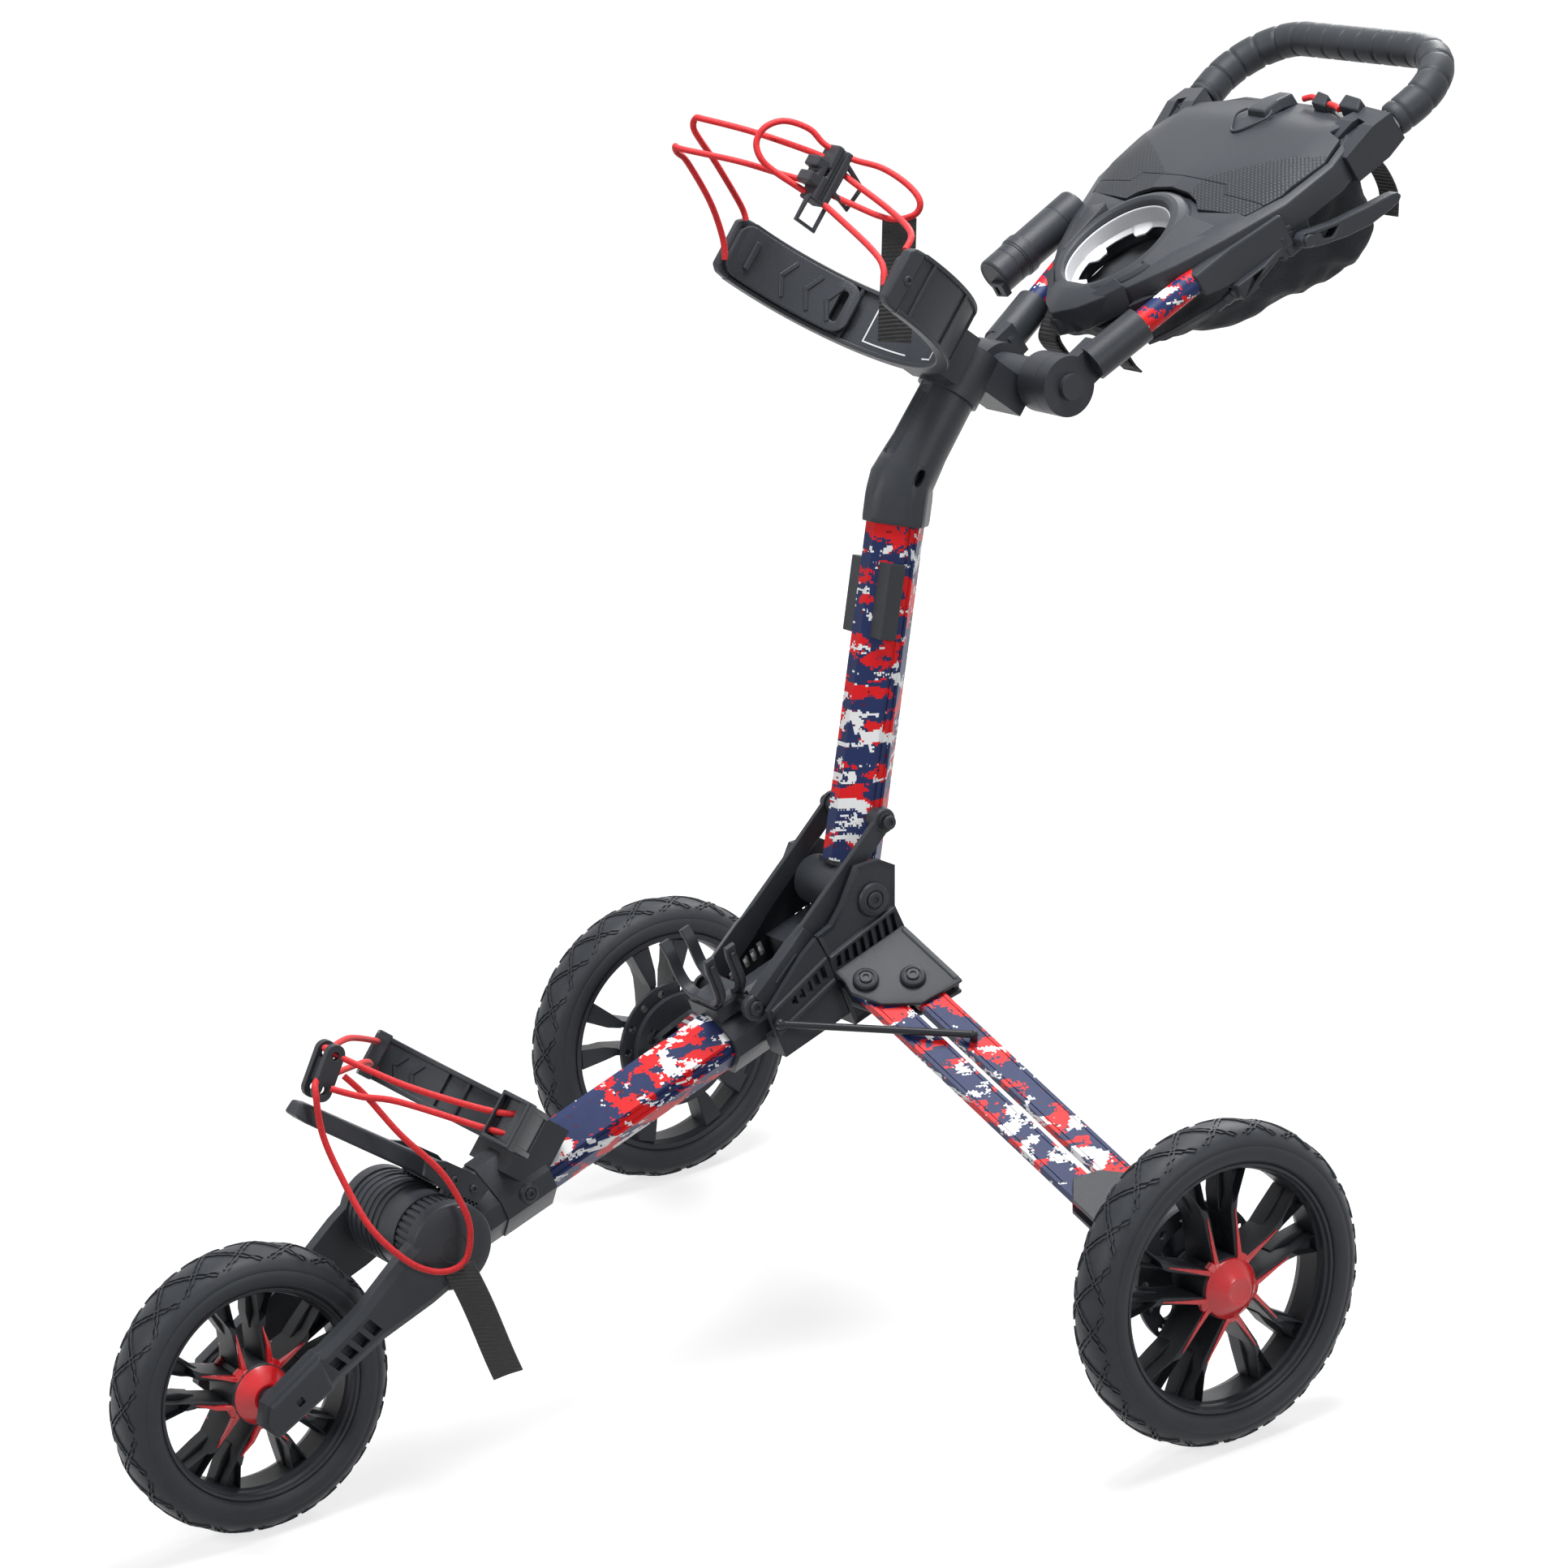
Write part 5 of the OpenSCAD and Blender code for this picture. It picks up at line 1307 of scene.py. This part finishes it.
def mirroredOutline(right, grow=0.0):
    cy = sum(y for x, y in right) / len(right)
    wide = [(x + math.copysign(grow, x) if x else 0, y + math.copysign(grow, y - cy)) for x, y in right]
    return wide + [(-x, y) for x, y in reversed(wide) if x > 0]


def toCup(piece, c):
    # stretch a round piece to the oval cup, lower at its front
    longer = c["cupHalf"][1] - c["cupHalf"][0]
    for v in piece.data.vertices:
        rear = v.co.y / v.co.xy.length
        v.co.y += rear * longer
        if v.co.z > 0:
            v.co.z *= c["hoodLow"] + (1 - c["hoodLow"]) * (0.5 + 0.5 * rear)
    return settle(piece, shift(*c["cup"], 0))


def makeHood(c):
    hood = turned(c["hood"], 96)
    inner = c["cupHalf"][0]
    for v in hood.data.vertices:
        radius = v.co.xy.length
        rear = v.co.y / radius
        if rear < 0:
            v.co.xy *= (inner + (radius - inner) * (1 + c["hoodThin"] * rear)) / radius
    return soften(toCup(hood, c), 0.0005)


def makeShell(c):
    shell = plate(mirroredOutline(c["outline"]), c["deep"], -c["deep"])
    raiseTop(shell, *c["shoulder"])
    raiseTop(shell, *c["belly"], -1)
    hole = cylinderAt(0, 0, -0.05, 0.05, c["cupHalf"][0] + 0.001, 72)
    settle(hole, shift(*c["cup"], 0) @ Matrix.Diagonal((1, c["cupHalf"][1] / c["cupHalf"][0], 1, 1)))
    cutAway(shell, plate(mirroredOutline(c["lid"], c["seam"]), 0.05),
            plate(mirroredOutline(c["tray"]), 0.05, c["trayLow"]), hole)
    return soften(shell, 0.002, 3, 24, 30)


def makeSide(s, way):
    # what the shell carries on each side: facet, cheek, skirt, gill and clamp
    def onSide(key):
        return spar([[(way * x, y, z) for x, y, z in row] for row in s[key]])

    parts = [soften(onSide(key), width, 2, 25) for key, width in s["edges"]]
    gill = plate([(way * x, y) for x, y in s["gill"]], *s["gillSize"])
    (x, y, z), (stepX, stepY) = s["slitAt"], s["slitStep"]
    for k in range(s["slits"]):
        place = shift(way * (x + stepX * k), y + stepY * k, z) @ turn(way * s["slitTurn"], "Z")
        cutAway(gill, settle(block(*s["slit"]), place))
    x, y, z = s["recessAt"]
    recess = settle(block(*s["recess"]), shift(way * x, y, z) @ turn(way * s["recessTurn"], "Z"))
    clamp = soften(cutAway(onSide("clamp"), recess), 0.0024, 3)
    screws = [screwHead(way * x, y, *s["screw"]) for x, y in s["screws"]]
    settle(join([clamp] + screws), consoleFrame.inverted() @ handleFrame)
    return parts + [soften(gill, 0.0009), clamp]


def leverBracket(b):
    # a block on the near side with the pin, the cable's slotted arm and its stop
    base = soften(spar(b["base"]), 0.0022)
    cap = soften(settle(turned(b["cap"], 32, ring=False), shift(*b["capAt"])), 0.0004)
    pin = settle(turned(b["pin"], 24, ring=False), shift(*b["pinAt"]) @ turn(90, "Y"))
    arm = soften(cutAway(spar([across(*row) for row in b["arm"]]), block(*b["slot"])), 0.0014)
    way = Vector(b["barrelWay"]).to_track_quat("Z", "Y").to_matrix().to_4x4()
    barrel = settle(turned(b["barrel"], 28, ring=False), shift(*b["barrelAt"]) @ way)
    return [base, cap, pin, arm, soften(barrel, 0.0003, 1)]


def makeConsole(c):
    prow = spar([[(-a, y0, z0), (a, y0, z0), (b, y1, z1), (-b, y1, z1)]
                 for (a, y0, z0), (b, y1, z1) in c["prow"]])
    parts = [makeShell(c), makeHood(c), soften(prow, 0.0012, 2, 25)]
    parts += makeSide(flank, -1) + makeSide(flank, 1) + leverBracket(bracket)
    return settle(join(parts), consoleFrame)


def makeCupRing(c):
    outer, inner, tab = c["ring"]
    ring = start("circle", vertices=144, radius=outer)
    edit(ring, whole=True)
    bpy.ops.mesh.extrude_edges_move()
    bpy.ops.transform.resize(value=(inner / outer, inner / outer, 1), center_override=(0, 0, 0))
    leave()
    for v in ring.data.vertices:
        turnAt = math.degrees(math.atan2(v.co.y, v.co.x)) * c["tabs"] / 360
        near = abs(turnAt - round(turnAt))
        if v.co.xy.length < outer - 0.001 and near < 0.20:
            v.co.xy *= (inner - (inner - tab) * min(1.0, (0.20 - near) / 0.05)) / inner
        v.co.z = -0.0060 if v.co.xy.length > outer - 0.001 else -0.0100
    cleanNormals(modify(ring, "SOLIDIFY", thickness=0.0022, offset=0))
    lip = turned([(outer - 0.0018, -0.0070), (outer + 0.0002, -0.0070), (outer + 0.0010, 0.0085),
                  (outer - 0.0002, 0.0090), (outer - 0.0010, 0.0080)], 144)
    return settle(toCup(join([soften(ring, 0.0004), soften(lip, 0.0003, 1)]), c), consoleFrame)


lid = {"crown": 0.0168, "edge": 0.0042, "thick": 0.003, "blend": 0.0016, "crease": (0.015, 0.173, 0.57),
       "fall": 0.17, "split": [(0, 0.1755), (0.058, 0.1755), (0.066, 0.165), (0.1145, 0.165)], "gap": 0.0008,
       "low": (-0.136, 0.136), "high": (0.136, 0.304), "grid": (110, 70), "bow": (0.35, 0.20, 0.225),
       "below": 0.0008, "half": 0.128, "tapers": ((0.25, 0.235), (0.45, 0.190)), "sideFall": 0.36,
       "rear": (0.298, 0.10), "rearFall": 0.34, "knurl": (0.8, 0.0165, 0.0015, 0.026),
       "notch": ((-0.02, -0.021, -0.01), (0.02, 0.021, 0.03)), "notchAt": (0.129, 0.276), "notchTurn": -14,
       "latch": [
           ((-0.006, 0.262, 0.013), (0.022, 0.262, 0.013), (0.019, 0.264, 0.0215), (-0.003, 0.264, 0.0215)),
           ((-0.006, 0.282, 0.01), (0.022, 0.282, 0.01), (0.019, 0.281, 0.02), (-0.003, 0.281, 0.02)),
           ((-0.002, 0.3, 0.001), (0.018, 0.3, 0.001), (0.016, 0.3, 0.014), (0, 0.3, 0.014))],
       "loop": [(-0.008, 0.268, 0.0185), (-0.013, 0.258, 0.019), (-0.002, 0.241, 0.018),
                (0.005, 0.237, 0.018), (0.013, 0.241, 0.018), (0.028, 0.258, 0.0185),
                (0.025, 0.268, 0.0185)], "wire": 0.0013,
       "bands": {"lidBandLeft": [(0.03, 0.299, 0.0095), (0.04, 0.301, 0.0108), (0.05, 0.299, 0.0105)],
                 "lidBandRight": [(0.068, 0.296, 0.0095), (0.078, 0.294, 0.01), (0.086, 0.291, 0.0092)]},
       "band": 0.0028}


def creaseDepth(x, y):
    at, front, slope = lid["crease"]
    return (front + slope * (abs(x) - at) - y) / math.hypot(1, slope)


def lidHeight(x, y):
    # the least of the crown, the knurled facets, the sides and the rear, with the creases blended
    bowX, bowY, middle = lid["bow"]
    (rearTaper, rearFrom), (frontTaper, frontFrom) = lid["tapers"]
    half = lid["half"] - rearTaper * max(0.0, y - rearFrom) - frontTaper * max(0.0, frontFrom - y)
    rear, skew = lid["rear"]
    falls = (lid["crown"] - bowX * x * x - bowY * (y - middle) ** 2,
             lid["crown"] - lid["below"] - lid["fall"] * creaseDepth(x, y),
             lid["edge"] + lid["sideFall"] * (half - abs(x)),
             lid["edge"] + lid["rearFall"] * (rear - skew * abs(x) - y))
    return -lid["blend"] * math.log(sum(math.exp(-f / lid["blend"]) for f in falls))


def makeCover(right):
    cover = start("grid", x_subdivisions=lid["grid"][0], y_subdivisions=lid["grid"][1], size=1)
    for v in cover.data.vertices:
        x, y = (a + (b - a) * (k + 0.5) for a, b, k in zip(lid["low"], lid["high"], v.co.xy))
        v.co = (x, y, lidHeight(x, y))
    modify(cover, "SOLIDIFY", thickness=lid["thick"], offset=-1)
    trim = plate(mirroredOutline(right), 0.10, -0.05)
    modify(cover, "BOOLEAN", object=trim, operation="INTERSECT", solver="EXACT")
    bpy.data.objects.remove(trim)
    return cover


def makeApron(c):
    # the strip between the hood and the lid's front edge stays on the console
    back = [(x, y - lid["gap"]) for x, y in reversed(lid["split"])]
    cover = makeCover([p for p in c["lid"] if p[1] < lid["split"][-1][1]] + back)
    return settle(soften(cover, 0.0005, 2, 50, 40), consoleFrame)


def makeLid(c):
    cover = makeCover(lid["split"] + [p for p in c["lid"] if p[1] > lid["split"][-1][1]])
    x, y = lid["notchAt"]
    for way in (-1, 1):
        place = shift(way * x, y, 0) @ turn(way * lid["notchTurn"], "Z")
        cutAway(cover, settle(block(*lid["notch"]), place))
    soften(cover, 0.0006, 2, 50, 40)
    latch = soften(spar(lid["latch"]), 0.0018)
    loop = tubeMesh(smoothPath(lid["loop"], 5), lid["wire"], 2)
    return settle(join([cover, latch, loop]), consoleFrame)


def makeHooks(c):
    # the black hooks behind the lid, with the red band between them
    hooks = []
    for x, w in c["hooks"]:
        hook = spar([[(x - w, 0.292, -0.004), (x + w, 0.290, -0.004), (x + w, 0.290, 0.0120),
                      (x - w, 0.292, 0.0125)],
                     [(x - w, 0.305, -0.004), (x + w, 0.302, -0.004), (x + w * 0.8, 0.300, 0.0170),
                      (x - w * 0.8, 0.303, 0.0175)]])
        hooks.append(soften(hook, 0.0016))
    return settle(join(hooks), consoleFrame)


dress(makeConsole(console), "consoleShell", "handle", "black_plastic", "console")
dress(makeCupRing(console), "cupRing", "handle", "black_plastic", "console", finish=palePlastic)
dress(makeHooks(console), "lidHooks", "handle", "black_plastic", "console")
lidPiece = dress(makeLid(console), "consoleLid", "lid", "black_plastic", "console_lid")
apronPiece = dress(makeApron(console), "lidApron", "handle", "black_plastic")
toConsole = consoleFrame.inverted()
leastUp, topHeight, leastDeep, leastOut = lid["knurl"]
for piece in (lidPiece, apronPiece):
    piece.data.materials.append(knurledBlack)
    for face in piece.data.polygons:
        local = toConsole @ face.center
        up = (toConsole.to_3x3() @ face.normal).z
        onFacet = local.z < topHeight and creaseDepth(local.x, local.y) > leastDeep
        if up > leastUp and onFacet and abs(local.x) > leastOut:
            face.material_index = 1
for label, points in lid["bands"].items():
    band = tubeMesh([consoleFrame @ p for p in smoothPath(points, 6)], lid["band"])
    dress(band, label, "handle", "red_elastic")
print("console made")


# the brake lever, a paddle with a window by its hinge, and the cable's sheath

lever = {"hinge": (0.1296, 0.172, -0.034), "thick": 0.0121, "lean": -15,
         "outline": [(-0.0075, 0.003), (-0.003, 0.007), (0.004, 0.007), (0.03, 0.004), (0.07, 0.0035),
                     (0.096, 0.004), (0.103, 0.003), (0.106, -0.001), (0.102, -0.0056), (0.092, -0.0085),
                     (0.068, -0.013), (0.04, -0.013), (0.014, -0.01), (0.002, -0.0075), (-0.006, -0.005)],
         "window": [(0.015, 0.0015), (0.034, 0), (0.026, -0.007), (0.017, -0.005)],
         "cable": [(0.12, 0.145, -0.036), (0.116, 0.13, -0.04), (0.106, 0.112, -0.045),
                   (0.096, 0.092, -0.048), (0.086, 0.062, -0.047), (0.08, 0.04, -0.044),
                   (0.077, 0.028, -0.041)], "cableRadius": 0.0025,
         "wire": [(0.1205, 0.164, -0.0335), (0.1203, 0.15, -0.0352), (0.119, 0.138, -0.0375)],
         "wireRadius": 0.0009}


def makeLever(v):
    paddle = cutAway(plate(v["outline"], v["thick"]), plate(v["window"], 0.05, -0.02))
    place = consoleFrame @ shift(*v["hinge"]) @ turn(v["lean"], "X") @ sideways
    return settle(soften(paddle, 0.0026, 3), place)


dress(makeLever(lever), "brakeLever", "lever", "black_plastic", "brake_lever")
sheath = tubeMesh([consoleFrame @ p for p in smoothPath(lever["cable"], 6)], lever["cableRadius"], 4)
dress(sheath, "brakeCable", "handle", "cable", "brake_cable", finish=finishes["soft_rubber"])
wire = tubeMesh([consoleFrame @ Vector(p) for p in lever["wire"]], lever["wireRadius"], 2)
dress(wire, "brakeWire", "handle", "cable", "brake_cable")
print("lever made")


# the grip, ringed along the handle's loop

grip = {"radius": 0.0155, "loop": 0.448, "bend": 0.060, "arm": 0.060, "splay": 11, "lead": 0.020,
        "pitch": 0.0225, "bendSteps": 34, "topSteps": 60, "fine": 0.0014}


def gripPath(g):
    s = math.radians(g["splay"])
    bendS = g["loop"] - g["bend"]
    run = (bendS - g["bend"] * math.sin(s)) / math.cos(s)
    bendX = g["arm"] + (bendS - g["bend"] * math.sin(s)) * math.tan(s) - g["bend"] * math.cos(s)
    side = [Vector((g["arm"] + (run - g["lead"]) * math.sin(s), (run - g["lead"]) * math.cos(s), 0))]
    for k in range(g["bendSteps"] + 1):
        a = -s + (math.pi / 2 + s) * k / g["bendSteps"]
        side.append(Vector((bendX + g["bend"] * math.cos(a), bendS + g["bend"] * math.sin(a), 0)))
    top = [Vector((bendX * (1 - 2 * k / g["topSteps"]), g["loop"], 0)) for k in range(1, g["topSteps"])]
    return side + top + [Vector((-p.x, p.y, 0)) for p in reversed(side)]


def makeGrip(g):
    path = gripPath(g)
    fine, radii, gone = [], [], 0.0
    for a, b in zip(path, path[1:]):
        n = max(1, round((b - a).length / g["fine"]))
        for k in range(n):
            gone += (b - a).length / n
            near = abs((gone / g["pitch"]) % 1 - 0.5) * g["pitch"]
            fine.append(a.lerp(b, (k + 1) / n))
            radii.append(0.925 if near < 0.0010 else 0.975 if near < 0.0022 else 1.0)
    radii[:3] = [0.90, 0.97, 0.99]
    radii[-3:] = [0.99, 0.97, 0.90]
    return tubeMesh([handleFrame @ p for p in fine], g["radius"], 7, radii)


dress(makeGrip(grip), "rubberGrip", "handle", "soft_rubber", "grip")
print("grip made")


# the fabric bag under the console: a lofted shell that the cloth solver lets sag

bag = {"rows": [(0.020, 0.055, -0.046), (0.058, 0.064, -0.068), (0.100, 0.072, -0.086),
                (0.150, 0.082, -0.104), (0.200, 0.089, -0.119), (0.250, 0.092, -0.128),
                (0.284, 0.090, -0.120), (0.298, 0.080, -0.098)],
       "top": -0.0252, "sides": 28, "voxel": 0.0065, "frames": 22, "slack": -0.055, "cap": 0.007,
       "hold": 0.016, "loose": 0.030, "square": (0.42, 0.55), "gravity": 0.4,
       "folds": ((17, 0.0070), (38, 0.0032)), "foldWay": (1.0, 0.7, 1.4), "sharp": 2.2}
straps = {"wide": 0.025, "thick": 0.0018, "apart": 0.048,
          "long": [(0.070, -0.0262), (0.036, -0.0300), (0.0165, -0.040), (0.0150, -0.056),
                   (0.0180, -0.068)],
          "short": [(0.060, -0.0265), (0.030, -0.0300), (0.0120, -0.040), (0.0105, -0.052),
                    (0.0140, -0.060)],
          "rear": [(0.294, -0.040), (0.306, -0.058), (0.307, -0.088), (0.296, -0.108)], "rearAt": 0.074}


def bagShell(b):
    rings = []
    for y, half, low in b["rows"]:
        ring = []
        for k in range(b["sides"]):
            a = 2 * math.pi * (k + 0.5) / b["sides"]
            c, s = math.cos(a), math.sin(a)
            x = math.copysign(abs(c) ** b["square"][0], c) * half
            z = math.copysign(abs(s) ** b["square"][1], s) * (b["top"] - low) / 2 + (b["top"] + low) / 2
            ring.append(consoleFrame @ Vector((x, y, z)))
        rings.append(ring)
    return spar(rings)


def sagBag(piece, b):
    # slack cloth held along the console's rim: no point moves further than the cap
    modify(piece, "REMESH", mode="VOXEL", voxel_size=b["voxel"])
    before = [v.co.copy() for v in piece.data.vertices]
    held = piece.vertex_groups.new(name="held")
    for v in piece.data.vertices:
        drop = (b["top"] - (toConsole @ v.co).z) / b["hold"]
        held.add([v.index], max(0.0, min(1.0, 1.0 - drop)), "REPLACE")
    alone(piece)
    cloth = piece.modifiers.new("cloth", "CLOTH")
    nylon = {"quality": 6, "mass": 0.25, "tension_stiffness": 18, "compression_stiffness": 18,
             "shear_stiffness": 6, "bending_stiffness": 0.12, "vertex_group_mass": "held",
             "shrink_min": b["slack"]}
    for key, value in nylon.items():
        setattr(cloth.settings, key, value)
    cloth.settings.effector_weights.gravity = b["gravity"]
    cloth.point_cache.frame_end = b["frames"]
    for step in range(1, b["frames"] + 1):
        scene.frame_set(step)
    bpy.ops.object.modifier_apply(modifier=cloth.name)
    scene.frame_set(1)
    for v, old in zip(piece.data.vertices, before):
        move = v.co - old
        if move.length > b["cap"]:
            v.co = old + move * (b["cap"] / move.length)


def creaseBag(piece, b):
    # sharp valleys where the empty cloth folds, none along the held rim
    alone(piece)
    normals = [v.normal.copy() for v in piece.data.vertices]
    for v, normal in zip(piece.data.vertices, normals):
        local = toConsole @ v.co
        loose = max(0.0, min(1.0, (b["top"] - local.z) / b["loose"]))
        spot = Vector([value * way for value, way in zip(local, b["foldWay"])])
        dent = sum(deep * (1 - b["sharp"] * abs(noise.noise(spot * scale))) for scale, deep in b["folds"])
        v.co -= normal * dent * loose


def makeBag(b):
    piece = bagShell(b)
    sagBag(piece, b)
    creaseBag(piece, b)
    modify(piece, "SUBSURF", levels=1, render_levels=1)
    alone(piece)
    bpy.ops.object.shade_smooth()
    return piece


def makeStraps(s):
    def strap(x, key):
        piece = ribbon([(x, y, z) for y, z in s[key]], (1, 0, 0), s["wide"], s["thick"])
        return settle(soften(piece, 0.0004, 1, 50), consoleFrame)

    made = [strap(way * s["apart"], key) for way in (-1, 1) for key in ("long", "short")]
    return join(made + [strap(s["rearAt"], "rear")])


bagPiece = dress(makeBag(bag), "cargoBag", "handle", "black_fabric", "cargo_bag")
dress(makeStraps(straps), "bagStraps", "handle", "black_fabric", "cargo_bag", finish=webbing)
print("bag made")


# the umbrella holder: a closed tube with a strap band and a lug on its front face

holder = {"at": (-0.124, 0.032, -0.004),
          "profile": [(0.0006, 0.0008), (0.014, 0.0008), (0.0152, 0.0002), (0.0168, 0.001), (0.0175, 0.0028),
                      (0.0175, 0.018), (0.0171, 0.0184), (0.0171, 0.0192), (0.0175, 0.0196),
                      (0.0175, 0.028), (0.0182, 0.0284), (0.0182, 0.03), (0.0189, 0.0304), (0.0189, 0.0386),
                      (0.0182, 0.039), (0.0182, 0.0406), (0.0175, 0.041), (0.0175, 0.08), (0.0171, 0.0804),
                      (0.0171, 0.0812), (0.0175, 0.0816), (0.0175, 0.103), (0.0166, 0.1052),
                      (0.0146, 0.106), (0.0006, 0.106)],
          "lug": [(-0.003, 0.002), (0.015, 0.002), (0.015, 0.015), (-0.003, 0.017)],
          "slot": ((0.002, 0.006, -0.01), (0.006, 0.014, 0.01)),
          "patch": ((-0.0215, -0.0075, 0.027), (-0.0165, 0.0075, 0.042))}


def makeHolder(h):
    body = soften(turned(h["profile"], 64, ring=False), 0.0003)
    lug = spar([[(x, y, z) for x, y in h["lug"]] for z in (-0.004, 0.002)])
    soften(cutAway(lug, block(*h["slot"])), 0.0008)
    patch = soften(block(*h["patch"]), 0.0016)
    return settle(join([body, lug, patch]), consoleFrame @ shift(*h["at"]) @ turn(-90, "X"))


dress(makeHolder(holder), "umbrellaHolder", "handle", "black_fabric", "umbrella_holder",
      finish=finishes["black_plastic"])
print("holder made")


# floor, light and world

studio = {"ground": 12.0, "low": -0.0006, "grey": 0.36, "near": 0.74, "fade": (0.9, 2.6), "world": 0.07,
          "lights": [("overhead", (0.3, 0.3, 2.7), (0, 0, 0.4), 1.2, 76),
                     ("front", (0.4, -3.0, 1.9), (0, -0.1, 0.4), 0.9, 42),
                     ("side", (3.0, 0.6, 1.5), (0, -0.1, 0.4), 0.7, 22),
                     ("rear", (-1.4, 2.4, 2.2), (0, 0.1, 0.5), 0.9, 46)]}
seenRays = ("Is Camera Ray", "Is Glossy Ray", "Is Transmission Ray")


def makeGround(s):
    ground = start("plane", size=s["ground"] * 2, location=(0, 0, s["low"]))
    ground.name = "ground"
    p = Paint("groundWhite")
    seen = [p.add("ShaderNodeLightPath", out=ray) for ray in seenRays]
    far = p.add("ShaderNodeVectorMath", {"operation": "LENGTH"}, {0: p.place}, "Value")
    fade = p.add("ShaderNodeMapRange", {"interpolation_type": "SMOOTHSTEP"},
                 {0: far, 1: s["fade"][0], 2: s["fade"][1]})
    dull = p.add("ShaderNodeBsdfDiffuse", None, {"Color": rgb(s["grey"], s["grey"], s["grey"])})
    white = p.mix(fade, rgb(s["near"], s["near"], s["near"]), rgb(1, 1, 1))
    glow = p.add("ShaderNodeEmission", None, {"Color": white, "Strength": 1.0})
    both = p.add("ShaderNodeAddShader", None, {0: dull, 1: glow})
    p.end(p.add("ShaderNodeMixShader", None, {0: seen[0] + seen[1] + seen[2], 1: dull, 2: both}))
    ground.data.materials.append(p.material)


def makeWorld(s):
    world = bpy.data.worlds.new("studio")
    scene.world = world
    world.use_nodes = True
    tree = world.node_tree
    tree.nodes.clear()
    path = tree.nodes.new("ShaderNodeLightPath")
    seen = path.outputs[seenRays[0]]
    for ray in seenRays[1:]:
        either = tree.nodes.new("ShaderNodeMath")
        either.operation = "MAXIMUM"
        tree.links.new(seen, either.inputs[0])
        tree.links.new(path.outputs[ray], either.inputs[1])
        seen = either.outputs[0]
    backdrop = tree.nodes.new("ShaderNodeMixShader")
    tree.links.new(seen, backdrop.inputs[0])
    for place, strength in ((1, s["world"]), (2, 1.0)):  # the level that lights, the white that shows
        back = tree.nodes.new("ShaderNodeBackground")
        back.inputs["Color"].default_value = (1, 1, 1, 1)
        back.inputs["Strength"].default_value = strength
        tree.links.new(back.outputs[0], backdrop.inputs[place])
    end = tree.nodes.new("ShaderNodeOutputWorld")
    tree.links.new(backdrop.outputs[0], end.inputs["Surface"])


def makeLights(s):
    for name, at, to, size, power in s["lights"]:
        data = bpy.data.lights.new(name, "AREA")
        data.size = size
        data.energy = power
        lamp = bpy.data.objects.new(name, data)
        scene.collection.objects.link(lamp)
        lamp.location = at
        lamp.rotation_euler = (Vector(to) - Vector(at)).to_track_quat("-Z", "Y").to_euler()


makeGround(studio)
makeWorld(studio)
makeLights(studio)
scene.view_settings.view_transform = "Standard"
print("studio made")
